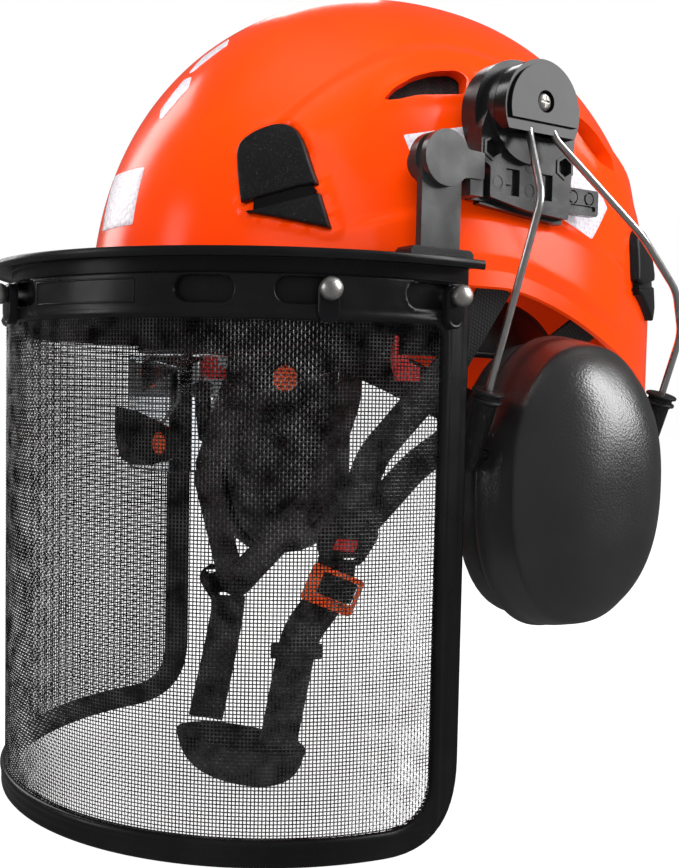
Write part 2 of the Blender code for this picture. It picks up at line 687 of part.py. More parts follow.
def build_cushion(name, side):
    width, height = CUP_HALF_WIDTH - 1.0, CUP_HALF_HEIGHT - 1.0
    back, face = CUP_RIM_X - GAP, CUSHION_INNER_X
    outer = [((width - 1, height - 1), back), ((width, height), back - 3), ((width, height), face + 6),
             ((width - 5, height - 5), face)]
    inner = [((width - 13, height - 13), face), ((width - 18, height - 18), face + 6),
             ((width - 18, height - 18), back)]
    pivot = (sleeve_pin(side, True) + sleeve_pin(side, False)) / 2
    skin = material("cushion_skin", (0.014, 0.014, 0.015), 0.5)
    return place(name, ring_solid(outer, inner, side), skin, pivot)


def build_foam(name, side):
    bm = loft([cup_ring((CUP_HALF_WIDTH - 8, CUP_HALF_HEIGHT - 8), x, side) for x in (115.0, 123.0)])
    pivot = (sleeve_pin(side, True) + sleeve_pin(side, False)) / 2
    foam = place(name, bm, material("foam", (0.02, 0.02, 0.022), 0.95), pivot)
    return foam


# ---------------------------------------------------------------- headband
def band_point(angle, height, out=0.0):
    return Vector(((BAND_HALF_WIDTH + out) * math.sin(angle),
                   BAND_CENTER_Y - (BAND_HALF_LENGTH + out) * math.cos(angle), height))


def band_height(angle):
    """Middle height of the headband: level at the brow, lower at the nape."""
    part = max(abs(angle) - math.radians(95), 0.0) / math.radians(85)
    return 3.0 - 46.0 * math.sin(min(part, 1.0) * math.pi / 2) ** 2


def band_strip(start, end, steps, inner, outer, half_height, closed=False):
    rings = []
    for i in range(steps if closed else steps + 1):
        angle = start + (end - start) * i / steps
        middle = band_height(angle)
        rings.append([band_point(angle, middle + b, r) for b, r in
                      ((-half_height, inner), (-half_height, outer),
                       (half_height, outer), (half_height, inner))])
    if not closed:
        return loft(rings)
    bm = bmesh.new()
    rows = [[bm.verts.new(p) for p in ring] for ring in rings]
    for here, after in zip(rows, rows[1:] + rows[:1]):
        for i in range(4):
            j = (i + 1) % 4
            bm.faces.new((here[i], here[j], after[j], after[i]))
    return bm


def build_headband():
    grey = material("headband_plastic", (0.02, 0.02, 0.021), 0.5)
    place("headband", band_strip(-math.pi, math.pi, 48, 0, BAND_THICK, BAND_HEIGHT / 2, True), grey)
    brow = math.radians(78)
    place("sweat_pad", band_strip(-brow, brow, 22, -4.5, -GAP, BAND_HEIGHT / 2 - 1),
          material("pad_cloth", (0.02, 0.02, 0.022), 0.9))
    place("nape_pad", band_strip(math.radians(152), math.radians(208), 8, -4.5, -GAP, 15.0),
          material("pad_cloth", (0.02, 0.02, 0.022), 0.9))


def cradle_route(angle):
    """Webbing from a clip inside the shell, up over the head and down the other side."""
    feet = [shell_point(a, 24.0, -SHELL_WALL - 3.5) for a in (angle, angle + math.pi)]
    points = []
    steps = 10
    for i in range(steps + 1):
        a = math.pi * i / steps
        reach = (feet[0] if math.cos(a) > 0 else feet[1]) * abs(math.cos(a))
        points.append(Vector((reach.x, reach.y, 24.0 + 82.0 * math.sin(a))))
    return points


def build_cradle():
    """Three webbing bands sewn together at the crown."""
    cloth = material("webbing", (0.016, 0.016, 0.017), 0.85)
    cradle = None
    for degrees in (70, 110, 0):
        angle = math.radians(degrees)
        route = cradle_route(angle)

        def facing(point):
            return (point.x, point.y, (point.z - 20.0) * 1.6 + 0.01)

        bm = strap(route, WEBBING_WIDTH, 1.6, facing, 6.0)
        if cradle is None:
            cradle = place("crown_webbing", bm, cloth)
        else:
            fuse(cradle, bm)
    return cradle


def build_ratchet():
    """Size ratchet behind the nape: a housing on the band and its knob."""
    middle = band_height(math.pi)
    back = BAND_CENTER_Y + BAND_HALF_LENGTH + BAND_THICK + GAP
    outline = [(-34, middle - 9), (-18, middle - 15), (18, middle - 15), (34, middle - 9),
               (34, middle + 9), (18, middle + 15), (-18, middle + 15), (-34, middle + 9)]
    black = material("black_semi_gloss", BLACK, 0.3)
    housing = place("ratchet_housing", prism(outline, back, back + 8.0, sideways(1, "Y")), black)
    cut(housing, prism(circle(0, middle, 3.4, 12), back - 5, back + 12, sideways(1, "Y")))
    knob_at = (0, back + 8.0, middle)
    ribs = 24
    rim = [(math.cos(2 * math.pi * i / ribs) * (17.5 if i % 2 else 16.4),
            middle + math.sin(2 * math.pi * i / ribs) * (17.5 if i % 2 else 16.4)) for i in range(ribs)]
    knob = place("ratchet_knob", prism(rim, back + 8.0 + GAP, back + 18.0, sideways(1, "Y")),
                 material("black_gloss", BLACK, 0.2), knob_at)
    fuse(knob, prism(circle(0, middle, 3.0, 12), back + 1.0, back + 10.0, sideways(1, "Y")))


# ---------------------------------------------------------------- eye shield
def lens_point(angle, height, out=0.0):
    return Vector(((LENS_HALF_WIDTH + out) * math.sin(angle),
                   BAND_CENTER_Y - (LENS_HALF_LENGTH + out) * math.cos(angle), height))


def build_eye_shield():
    """Clear lens on two side arms that turn on the headband's temples."""
    pivot = (0, LENS_PIVOT_Y, LENS_PIVOT_Z)
    reach = math.radians(58)
    steps = 20
    rings = []
    for i in range(steps + 1):
        angle = -reach + 2 * reach * i / steps
        share = abs(angle) / reach
        low = -62.0 + 29.0 * share ** 3.5
        high = -11.5 - 4.0 * share ** 4
        rings.append([lens_point(angle, z, out)
                      for z, out in ((low, 0), (low, LENS_THICK), (high, LENS_THICK), (high, 0))])
    place("eye_lens", loft(rings), material("clear_lens", (0.8, 0.85, 0.9), 0.05), pivot)
    black = material("black_gloss", BLACK, 0.2)
    pivot_angle = math.acos((BAND_CENTER_Y - LENS_PIVOT_Y) / LENS_HALF_LENGTH)
    disc_angle = math.radians(46)
    for name, side in SIDES:
        rings = []
        for i in range(8):
            share = i / 7
            angle = disc_angle - 0.14 + (pivot_angle - disc_angle + 0.2) * share
            middle = LENS_PIVOT_Z - 19.5 * (1 - share) ** 1.2
            half = 7.5 - 1.5 * abs(share - 0.3)
            rings.append([mirrored(lens_point(angle, z, out), side)
                          for z, out in ((middle - half, 2.1), (middle - half, 4.1),
                                         (middle + half, 4.1), (middle + half, 2.1))])
        place(f"eye_shield_arm_{name}", loft(rings), black, pivot)
    rings = []
    for i in range(9):
        share = -1 + i / 4
        angle = 0.31 * share
        low, high = -60.0 + 5.0 * share ** 2, -38.0 - 7.0 * share ** 2
        rings.append([lens_point(angle, z, out)
                      for z, out in ((low, 2.1), (low, 4.1), (high, 4.1), (high, 2.1))])
    tab = place("eye_shield_tab", loft(rings), black, pivot)
    beak = [(-130.5, 15.0, -59.5, -39.0), (-135.5, 9.5, -56.0, -36.0), (-139.0, 5.0, -49.0, -34.8),
            (-140.8, 2.2, -43.0, -35.8)]
    rings = [[Vector((x, y, z)) for x, z in ((-half, low), (half, low), (half, high), (-half, high))]
             for y, half, low, high in beak]
    fuse(tab, loft(rings))


# ---------------------------------------------------------------- chin strap
def build_chin_strap():
    cloth = material("webbing", (0.016, 0.016, 0.017), 0.85)
    black = material("black_semi_gloss", BLACK, 0.3)
    lower_facings = {"left": Vector((0.8, -0.6, 0)), "right": Vector((-0.8, 0.6, 0))}
    front_runs = {"left": [Vector((102, -15, 20)), Vector((91, -30, -14)), Vector((66, -51, -53))],
                  "right": [Vector((-102, -15, 20)), Vector((-92, -30, -14)), Vector((-80, -57, -72))]}
    rear_runs = {"left": [Vector((68, -30, -58)), Vector((81, 3, -32)), Vector((86.4, 36, -4)),
                          Vector((98.6, 48, 10))],
                 "right": [Vector((-79, 12, -88)), Vector((-85, 38, -30)), Vector((-98.6, 48, 9))]}
    for name, side in SIDES:
        divider = DIVIDERS[name]
        front, rear = front_runs[name], rear_runs[name]
        facing = (front[-1] - divider).cross(rear[0] - divider).normalized()
        facing = facing if facing.x * side > 0 else -facing
        lift = Vector((0, 1.5, 3)) + facing
        route = front + [divider + lift, divider + lift + Vector((0, 3, 0))] + rear
        bm = strap(route, WEBBING_WIDTH - 2, WEBBING_THICK, facing, 3.0)
        place(f"chin_webbing_{name}", bm, cloth)
        plate = [(-14, 8), (-9, 14), (12, 16), (16, 10), (10, -5), (-8, -6)]
        center = divider + facing * 4.4
        across = (Vector((0, 1, 0)) - facing * facing.y).normalized()
        up = across.cross(facing)
        up = up if up.z > 0 else -up

        def mapping(a, b, depth):
            return center + a * across + b * up + depth * facing

        place(f"strap_divider_{name}", prism(plate, 0.0, 3.2, mapping), black)
    left = [Vector((47.5, -57.5, -113.0)), Vector((39.4, -69.9, -134.0)), Vector((27.0, -73.0, -187.6))]
    right = [Vector((-47.6, -60.0, -141.0)), Vector((-41.5, -67.0, -158.0)),
             Vector((-30.0, -80.5, -187.6))]
    for name, route in (("left", left), ("right", right)):
        bm = strap(route, WEBBING_WIDTH - 1, WEBBING_THICK, lower_facings[name], 8.0)
        place(f"chin_strap_{name}", bm, cloth)
    build_buckle()
    build_keeper()
    build_chin_cup()


def buckle_mapping():
    """Axes of the buckle, which lies flat on the left strap."""
    center = Vector((50.0, -59.6, -113.0))
    out = Vector((0.8, -0.6, 0.2)).normalized()
    up = Vector((0.24, 0.22, 0.94))
    up = (up - up.dot(out) * out).normalized()
    across = up.cross(out)

    def mapping(a, b, depth):
        return center + a * across + b * up + depth * out

    return mapping


def build_buckle():
    mapping = buckle_mapping()
    outline = [(-12, -8.6), (11.5, -8.6), (12.2, 8.2), (-11.4, 8.6)]
    frame = place("buckle_frame", prism(outline, 0.0, 6.0, mapping),
                  material("buckle_orange", (0.85, 0.09, 0.01), 0.35))
    cut(frame, prism([(-6, -3.8), (10, -3.8), (10, 6), (-6, 6)], -3.0, 9.0, mapping))
    place("buckle_latch", prism([(-5.6, -3.4), (9.6, -3.4), (9.6, 5.6), (-5.6, 5.6)], 1.0, 5.0, mapping),
          material("black_semi_gloss", BLACK, 0.3))


def build_keeper():
    """Sliding loop that keeps the strap's tail flat."""
    center = Vector((37.8, -70.3, -141.5))
    out = Vector((0.8, -0.6, 0)).normalized()
    across = Vector((0.6, 0.8, 0)).normalized()

    def mapping(a, b, depth):
        return center + a * across + depth * Vector((0, 0, 1)) + b * out

    outline = [(-11.4, -3.8), (11.4, -3.8), (11.4, 3.8), (-11.4, 3.8)]
    loop = place("strap_keeper", prism(outline, -2.7, 2.7, mapping),
                 material("black_semi_gloss", BLACK, 0.3))
    cut(loop, prism([(-9.6, -2.3), (9.6, -2.3), (9.6, 2.3), (-9.6, 2.3)], -8, 8, mapping))


def build_chin_cup():
    """Open cup under the chin, hung from the two straps and turned a little on them."""
    rings = []
    rows = 6
    turn = Matrix.Rotation(CHIN_TURN, 3, "Z")
    for skin, inset in ((1, 0.0), (-1, 2.6)):
        for i in range(rows + 1):
            part = (i / rows if skin < 0 else 1 - i / rows) * math.pi / 2 * 0.95
            share = math.cos(part) ** 0.6
            wide, deep = (CHIN_HALF_WIDTH - inset) * share, (CHIN_HALF_DEPTH - inset) * share
            height = CHIN_RIM_Z - (CHIN_DROP - inset) * math.sin(part)
            middle = Vector((0, CHIN_Y, height))
            rings.append([turn @ Vector((wide * math.sin(a), -deep * math.cos(a), 0)) + middle
                          for a in (2 * math.pi * k / 24 for k in range(24))])
    outer, inner = rings[:rows + 1], rings[rows + 1:]
    place("chin_cup", loft(outer + inner), material("chin_rubber", (0.02, 0.02, 0.02), 0.7))


def build_muffs():
    for name, side in SIDES:
        build_bracket(f"muff_bracket_{name}", side)
        build_carrier(f"visor_carrier_{name}", side)
        build_visor_arm(f"visor_arm_{name}", side)
        build_rotor(f"rotor_cap_{name}", side)
        build_rotor_screw(f"rotor_screw_{name}", side)
        build_fork(f"wire_fork_{name}", side)
        build_sleeve(f"sleeve_front_{name}", side, True)
        build_sleeve(f"sleeve_rear_{name}", side, False)
        build_cup(f"ear_cup_{name}", side)
        build_cushion(f"ear_cushion_{name}", side)
        build_foam(f"ear_foam_{name}", side)


def main():
    for thing in list(bpy.data.objects):
        bpy.data.objects.remove(thing, do_unlink=True)
    build_shell()
    build_lamp_clips()
    build_visor_frame()
    build_screen()
    build_brow_guard()
    build_fasteners()
    build_muffs()
    build_headband()
    build_cradle()
    build_ratchet()
    build_eye_shield()
    build_chin_strap()


main()
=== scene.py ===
import math

import bmesh
import bpy
import numpy as np
from mathutils import Matrix, Vector, geometry


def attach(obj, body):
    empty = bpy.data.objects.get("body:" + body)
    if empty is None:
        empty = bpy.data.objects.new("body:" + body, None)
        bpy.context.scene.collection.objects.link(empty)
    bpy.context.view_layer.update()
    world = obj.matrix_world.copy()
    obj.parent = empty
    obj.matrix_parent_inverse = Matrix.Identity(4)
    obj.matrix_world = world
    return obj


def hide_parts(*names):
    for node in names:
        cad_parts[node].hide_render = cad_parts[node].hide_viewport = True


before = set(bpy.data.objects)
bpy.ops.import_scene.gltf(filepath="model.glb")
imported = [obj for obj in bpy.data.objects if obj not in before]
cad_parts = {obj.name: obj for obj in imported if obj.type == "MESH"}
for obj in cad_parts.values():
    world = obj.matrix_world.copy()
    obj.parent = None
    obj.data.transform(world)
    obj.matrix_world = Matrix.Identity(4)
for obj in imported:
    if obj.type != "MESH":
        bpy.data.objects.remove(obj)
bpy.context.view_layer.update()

MM = 0.001
SIDES = (("left", 1), ("right", -1))
PLAN_SCALE = 2.1               # millimetres of shell per degree of plan angle

# Sizes shared with the CAD, in millimetres
SHELL_HALF_WIDTH, SHELL_FRONT, SHELL_BACK = 111.0, 144.9, 139.3
SHELL_WIDEST_Z, SHELL_RISE, SHELL_WALL = 7.1, 152.15, 2.8
PLAN_POWER, RISE_POWER = 2.17, 2.16
RIM_FRONT_Z, RIM_EAR_Z, RIM_NAPE_Z, RIM_EAR_ANGLE = 15.0, 18.0, -38.0, 80.0
PEAK_REACH, PEAK_HALF_ANGLE = 25.0, 52.0
VISOR_AXIS_Y, VISOR_RADIUS, VISOR_HALF_ANGLE = -60.8, 122.0, math.radians(96.6)
FRAME_INNER, FRAME_OUTER = 120.6, 124.0
FRAME_TOP_Z, FRAME_BOTTOM_Z = 17.0, -203.8
WINDOW_TOP_Z, WINDOW_BOTTOM_Z = 0.0, -193.0
FRAME_END_STRIP, FRAME_CORNER, WINDOW_CORNER = 13.0, 27.0, 16.0
SKIRT_INNER, SKIRT_OUTER, SKIRT_BOTTOM_Z = 117.8, 120.2, -4.0
FLANGE_OUTER, FLANGE_LOW_Z, FLANGE_HIGH_Z = 128.5, 22.8, 25.6
PIVOT_Y, PIVOT_Z = -59.0, 63.5
FASTENER_Z = 11.0
FASTENER_ANGLES = (-91.4, -68.0, 0.0, 68.0, 91.4)
SLOT_ANGLES = (-87.8, -64.4, -47.0, 3.6, 47.0, 64.4, 87.8)
ROTOR_Y, ROTOR_Z, ROTOR_RADIUS, SCREW_RISE = -17.0, 86.0, 19.7, 3.2
ROTOR_BACK_X, ROTOR_FACE_X = 122.0, 130.0
FORK_HINGE_X, FORK_HINGE_Z = 126.0, 82.5
WIRE_RADIUS = 1.5
WIRE_SLOPE = Vector((-0.30, -0.06, -1.0)).normalized()
WIRE_FRONT_END, WIRE_REAR_END = Vector((125.0, -38.0, -24.0)), Vector((129.0, 57.2, -24.0))
CUP_Y, CUP_Z, CUP_HALF_WIDTH, CUP_HALF_HEIGHT = 8.5, -62.0, 41.5, 60.5
CUP_RIM_X, CUP_DOME_X, CUP_WALL, CUSHION_INNER_X = 112.0, 155.0, 2.6, 92.0
BAND_HALF_WIDTH, BAND_HALF_LENGTH, BAND_CENTER_Y = 84.0, 106.0, -17.0
LENS_HALF_WIDTH, LENS_HALF_LENGTH = 88.4, 110.4
DIVIDERS = {"left": Vector((50.0, -58.0, -95.0)), "right": Vector((-50.0, -57.0, -128.0))}
FLOOR_Z = -212.0

# Sizes that only the visual model has
SCREEN_PITCH, SCREEN_WIRE, SCREEN_SWAY = 1.43, 0.235, 0.21
SCREEN_RADIUS, SCREEN_OVERLAP, SCREEN_PARTS = 122.0, 1.6, 3
LABEL_PLATE = (math.radians(9.5) * VISOR_RADIUS, math.radians(34.5) * VISOR_RADIUS, 5.4, 14.8)
ARM_HALF_WIDTH, HUB_RADIUS, HUB_PIN_RADIUS = 9.5, 10.7, 4.0
BRACKET_FACE_X, BOSS_RADIUS = 118.6, 22.6
SHELL_COLUMNS, SHELL_ROWS, LIP_ROWS = 360, 110, 8
CUP_POWER, CUP_STEPS = 2.3, 112
CLOTH_FRAMES, CLOTH_PRESSURE = 20, 4.0
WEBBING_WIDTH, HARNESS_WIDTH, CHIN_WIDTH, WEBBING_THICK = 18.0, 16.0, 17.0, 1.6
CRADLE_FOOT_Z, CRADLE_RISE = 24.0, 82.0
CAMERA_LENS, CAMERA_RISE = 46.853917, 0.0236175      # focal length in mm, lens shift in image heights

# Moulded plastics: material name, colour, roughness, grain size, grain depth, change of gloss, specular
PLASTICS = {
    "clip": ("clip_grain", (0.005, 0.005, 0.0055), 0.42, 0.32, 0.06, 0.06, 0.35),
    "satin": ("visor_black", (0.0035, 0.0035, 0.004), 0.3, 0.45, 0.012, 0.06, 0.36),
    "gloss": ("gloss_black", (0.003, 0.003, 0.0035), 0.18, 1.2, 0.01, 0.05, 0.34),
    "bracket": ("bracket_black", (0.007, 0.007, 0.0075), 0.27, 0.7, 0.014, 0.09, 0.36),
    "grey": ("arm_grey", (0.018, 0.0185, 0.019), 0.27, 0.8, 0.012, 0.1, 0.42),
    "red": ("red_plastic", (0.55, 0.012, 0.01), 0.3, 0.8, 0.01, 0.05, 0.5),
    "disc": ("orange_disc", (0.78, 0.085, 0.012), 0.35, 0.6, 0.02, 0.05, 0.5),
    "buckle": ("buckle_orange", (0.9, 0.1, 0.012), 0.35, 0.5, 0.02, 0.05, 0.5),
    "rubber": ("chin_rubber", (0.02, 0.02, 0.021), 0.6, 0.5, 0.05, 0.05, 0.5),
}


# ---------------------------------------------------------------- materials
class Look:
    """Builds a procedural material around one Principled shader."""

    def __init__(self, name, color, rough, metallic=0.0, specular=0.5):
        self.made = bpy.data.materials.new(name)
        self.made.use_nodes = True
        self.nodes = self.made.node_tree.nodes
        self.links = self.made.node_tree.links
        self.shader = self.nodes["Principled BSDF"]
        self.color, self.rough = color, rough
        self.set("Base Color", (*color, 1.0))
        self.set("Roughness", rough)
        self.set("Metallic", metallic)
        self.set("Specular IOR Level", specular)
        self.place = self.nodes.new("ShaderNodeTexCoord")
        self.height = None

    def set(self, socket, value):
        self.shader.inputs[socket].default_value = value

    def node(self, kind, **settings):
        made = self.nodes.new(kind)
        for key, value in settings.items():
            setattr(made, key, value)
        return made

    def math(self, operation, a, b=0.0):
        made = self.node("ShaderNodeMath", operation=operation)
        for socket, value in zip(made.inputs, (a, b)):
            if isinstance(value, (int, float)):
                socket.default_value = value
            else:
                self.links.new(value, socket)
        return made.outputs[0]

    def where(self, space="Object", stretch=None):
        source = self.place.outputs[space]
        if stretch:
            mapping = self.node("ShaderNodeMapping")
            mapping.inputs["Scale"].default_value = stretch
            self.links.new(source, mapping.inputs["Vector"])
            source = mapping.outputs["Vector"]
        return source

    def noise(self, size_mm, detail=3.0, stretch=None):
        made = self.node("ShaderNodeTexNoise")
        made.inputs["Scale"].default_value = 1000.0 / size_mm
        made.inputs["Detail"].default_value = detail
        self.links.new(self.where("Object", stretch), made.inputs["Vector"])
        return made.outputs["Fac"]

    def cells(self, size_mm):
        made = self.node("ShaderNodeTexVoronoi")
        made.inputs["Scale"].default_value = 1000.0 / size_mm
        self.links.new(self.where(), made.inputs["Vector"])
        return made.outputs["Distance"]

    def spread(self, value, low, high, from_low=0.3, from_high=0.7):
        made = self.node("ShaderNodeMapRange")
        self.links.new(value, made.inputs["Value"])
        numbers = {"From Min": from_low, "From Max": from_high, "To Min": low, "To Max": high}
        for key, number in numbers.items():
            made.inputs[key].default_value = number
        return made.outputs["Result"]

    def tint(self, value, other, low=0.35, high=0.65):
        """Vary the colour between the base and another one."""
        mix = self.node("ShaderNodeMix", data_type="RGBA")
        self.links.new(self.spread(value, 0.0, 1.0, low, high), mix.inputs[0])
        before = self.shader.inputs["Base Color"]
        if before.links:
            self.links.new(before.links[0].from_socket, mix.inputs[6])
        else:
            mix.inputs[6].default_value = (*self.color, 1.0)
        mix.inputs[7].default_value = (*other, 1.0)
        self.links.new(mix.outputs[2], before)
        return self

    def gloss(self, value, spread):
        rough = self.spread(value, self.rough - spread, self.rough + spread)
        self.links.new(rough, self.shader.inputs["Roughness"])
        return self

    def bump(self, value, depth_mm):
        made = self.node("ShaderNodeBump")
        made.inputs["Distance"].default_value = depth_mm * MM
        self.links.new(value, made.inputs["Height"])
        if self.height:
            self.links.new(self.height, made.inputs["Normal"])
        self.height = made.outputs["Normal"]
        self.links.new(self.height, self.shader.inputs["Normal"])
        return self


def plastic(name, color, rough, grain_mm, grain_depth, spread, specular):
    """Moulded plastic: fine grain, slow change of gloss, faint dust."""
    look = Look(name, color, rough, 0.0, specular)
    look.gloss(look.noise(14.0, 4.0), spread)
    look.tint(look.noise(35.0, 5.0), [c * 1.35 + 0.002 for c in color], 0.45, 0.75)
    return look.bump(look.noise(grain_mm, 2.0), grain_depth)


def cloth_weave(look, across_mm, along_mm, depth):
    """Twill threads from the UV map, which is in metres."""
    axes = look.node("ShaderNodeSeparateXYZ")
    look.links.new(look.where("UV"), axes.inputs[0])
    turn = 2000.0 * math.pi
    rows = look.math("SINE", look.math("MULTIPLY", axes.outputs[0], turn / along_mm))
    slant = look.math("ADD", look.math("MULTIPLY", axes.outputs[0], turn / along_mm / 2),
                      look.math("MULTIPLY", axes.outputs[1], turn / across_mm))
    threads = look.math("SINE", slant)
    mixed = look.math("ADD", look.math("MULTIPLY", rows, 0.25), look.math("MULTIPLY", threads, 0.25))
    mixed = look.math("ADD", mixed, 0.5)
    look.bump(mixed, depth)
    return mixed


def hexagon_waves(look, size_mm):
    """Sum of three waves over the UV map, which peaks in a honeycomb pattern."""
    total = None
    for turn in (0, 60, 120):
        angle = math.radians(turn)
        dot = look.node("ShaderNodeVectorMath", operation="DOT_PRODUCT")
        look.links.new(look.where("UV"), dot.inputs[0])
        dot.inputs[1].default_value = (math.cos(angle), math.sin(angle), 0)
        wave = look.math("COSINE", look.math("MULTIPLY", dot.outputs["Value"], 2000 * math.pi / size_mm))
        total = wave if total is None else look.math("ADD", total, wave)
    return total


def metal(name, color, rough, streaks, change, tarnish, grain):
    """Bare metal: streaky gloss, tarnish as (size, colour) and grain as (size, detail, depth)."""
    look = Look(name, color, rough, 1.0)
    look.gloss(look.noise(streaks[0], 4.0, streaks[1]), change)
    look.tint(look.noise(tarnish[0], 5.0), tarnish[1], 0.5, 0.8)
    return look.bump(look.noise(grain[0], grain[1]), grain[2])


def make_soft_looks():
    cup = Look("cup_leather_grain", (0.004, 0.0042, 0.0045), 0.33, specular=0.9)
    cup.set("IOR", 1.8)
    cup.gloss(cup.noise(18.0, 4.0), 0.04)
    cup.tint(cup.noise(30.0, 4.0), (0.009, 0.009, 0.0095))
    cup.bump(cup.cells(1.0), 0.07).bump(cup.noise(0.6, 2.0), 0.03)
    skin = Look("cushion_skin", (0.013, 0.013, 0.014), 0.45)
    skin.gloss(skin.noise(8.0, 4.0), 0.06)
    skin.tint(skin.noise(16.0, 4.0), (0.024, 0.024, 0.025))
    skin.bump(skin.cells(0.9), 0.08).bump(skin.noise(5.0, 4.0), 0.25)
    foam = Look("foam_black", (0.017, 0.017, 0.018), 0.95, specular=0.2)
    foam.tint(foam.cells(1.1), (0.035, 0.035, 0.036), 0.2, 0.9)
    foam.bump(foam.cells(0.8), 0.35)
    pad = Look("pad_cloth", (0.018, 0.018, 0.02), 0.9, specular=0.25)
    pad.set("Sheen Weight", 0.25)
    pad.tint(pad.noise(1.1, 3.0), (0.04, 0.04, 0.042))
    pad.bump(pad.noise(0.5, 3.0), 0.12).bump(pad.noise(6.0, 3.0), 0.3)
    webbing = Look("webbing_black", (0.014, 0.014, 0.015), 0.72, specular=0.3)
    webbing.set("Sheen Weight", 0.15)
    webbing.tint(cloth_weave(webbing, 1.6, 1.4, 0.22), (0.034, 0.034, 0.036), 0.3, 0.9)
    webbing.bump(webbing.noise(0.3, 2.0), 0.04)
    return {"cup": cup, "cushion": skin, "foam": foam, "pad": pad, "webbing": webbing}


def make_looks():
    looks = {key: plastic(*values) for key, values in PLASTICS.items()}
    looks["clip"].tint(looks["clip"].cells(0.45), (0.05, 0.05, 0.052), 0.75, 1.0)
    for key, size, detail, stretch, depth in (("satin", 6.0, 3.0, (1, 1, 0.12), 0.02),
                                              ("bracket", 9.0, 5.0, None, 0.12),
                                              ("grey", 7.0, 5.0, (1, 1, 0.2), 0.07)):
        looks[key].bump(looks[key].noise(size, detail, stretch), depth)
    looks.update(make_soft_looks())
    shell = Look("shell_orange", (1.0, 0.062, 0.001), 0.21, specular=0.27)
    shell.gloss(shell.noise(22.0, 4.0), 0.03)
    shell.tint(shell.noise(60.0, 4.0), (0.93, 0.052, 0.0008), 0.4, 0.7)
    looks["shell"] = shell.bump(shell.noise(1.6, 2.0), 0.006)
    looks["steel"] = metal("stud_steel", (0.92, 0.9, 0.86), 0.42, (1.2, (1, 1, 4)), 0.07,
                           (3.0, (0.6, 0.57, 0.53)), (0.25, 3.0, 0.006))
    looks["chrome"] = metal("fork_chrome", (0.95, 0.94, 0.93), 0.34, (4.0, (4, 4, 0.4)), 0.05,
                            (9.0, (0.7, 0.66, 0.63)), (0.4, 2.0, 0.004))
    wire = Look("screen_wire", (0.4, 0.4, 0.405), 0.32, metallic=1.0)
    wire.gloss(wire.noise(2.4, 3.0), 0.1)
    wire.tint(wire.noise(9.0, 4.0), (0.03, 0.03, 0.032))
    looks["wire_mesh"] = wire.bump(wire.noise(0.3, 2.0), 0.01)
    lens = Look("clear_lens", (0.95, 0.975, 1.0), 0.03, specular=0.4)
    lens.set("Transmission Weight", 1.0)
    lens.set("IOR", 1.16)
    lens.gloss(lens.noise(25.0, 3.0), 0.02)
    looks["lens"] = lens.bump(lens.noise(14.0, 2.0), 0.004)
    tape = Look("reflective_tape", (0.72, 0.69, 0.73), 0.32, specular=0.4)
    tape.gloss(tape.noise(3.0, 3.0), 0.08)
    hexes = hexagon_waves(tape, 3.4)
    tape.tint(tape.spread(hexes, 1.0, 0.0, -1.4, -0.9), (0.6, 0.5, 0.57), 0.1, 0.9)
    looks["tape"] = tape.bump(hexes, 0.03)
    return looks


# ---------------------------------------------------------------- mesh helpers
def rectangle(left, right, low, high):
    return [(left, low), (right, low), (right, high), (left, high)]


def outline_circle(a, b, radius, steps=48, start=0.0, sweep=360.0):
    """Full circle, or an arc with both of its ends."""
    count = steps if sweep >= 360 else steps + 1
    angles = [math.radians(start + sweep * i / steps) for i in range(count)]
    return [(a + radius * math.cos(t), b + radius * math.sin(t)) for t in angles]


def obround(a, b, length, width, steps=12):
    reach, radius = (length - width) / 2, width / 2
    outline = []
    for end, start in ((1, -90), (-1, 90)):
        for i in range(steps + 1):
            angle = math.radians(start + 180 * i / steps)
            outline.append((a + end * reach + radius * math.cos(angle), b + radius * math.sin(angle)))
    return outline


def bend(before, here, after, size, steps):
    """Points of a smooth corner that starts and ends a given distance from it."""
    start = here + (before - here).normalized() * size
    end = here + (after - here).normalized() * size
    shares = [k / steps for k in range(steps + 1)]
    return [(1 - t) ** 2 * start + 2 * t * (1 - t) * here + t ** 2 * end for t in shares]


def smooth_outline(corners, radius, steps=6, spacing=None):
    """Round the corners of a closed outline and, if asked, add points along its sides."""
    count = len(corners)
    made = []
    for i in range(count):
        before, here, after = (Vector(corners[(i + k) % count]) for k in (-1, 0, 1))
        size = radius[i] if isinstance(radius, (list, tuple)) else radius
        size = min(size, (before - here).length * 0.48, (after - here).length * 0.48)
        made += [tuple(p) for p in bend(before, here, after, size, steps)]
    return dense(made, spacing) if spacing else made


def dense(outline, spacing):
    """Add points along a closed outline so that none of its sides is longer than the spacing."""
    made = []
    for (a, b), (c, d) in zip(outline, outline[1:] + outline[:1]):
        length = math.dist((a, b), (c, d))
        if length < 1e-6:
            continue
        parts = max(1, int(math.ceil(length / spacing)))
        made += [(a + (c - a) * k / parts, b + (d - b) * k / parts) for k in range(parts)]
    return made


def signed_area(outline):
    return sum(a[0] * b[1] - b[0] * a[1] for a, b in zip(outline, outline[1:] + outline[:1])) / 2


def anticlockwise(outline):
    return outline if signed_area(outline) > 0 else outline[::-1]


def inset(outline, distance):
    """Move an anticlockwise outline inwards by a small distance."""
    moved = []
    count = len(outline)
    for i in range(count):
        before, here, after = (Vector(outline[(i + k) % count]) for k in (-1, 0, 1))
        a, b = (here - before), (after - here)
        if a.length < 1e-9 or b.length < 1e-9:
            moved.append(tuple(here))
            continue
        a.normalize()
        b.normalize()
        normal = Vector((-(a.y + b.y), a.x + b.x))
        if normal.length < 1e-6:
            normal = Vector((-a.y, a.x))
        normal.normalize()
        share = max(normal.dot(Vector((-a.y, a.x))), 0.5)
        moved.append(tuple(here + normal * distance / share))
    return moved


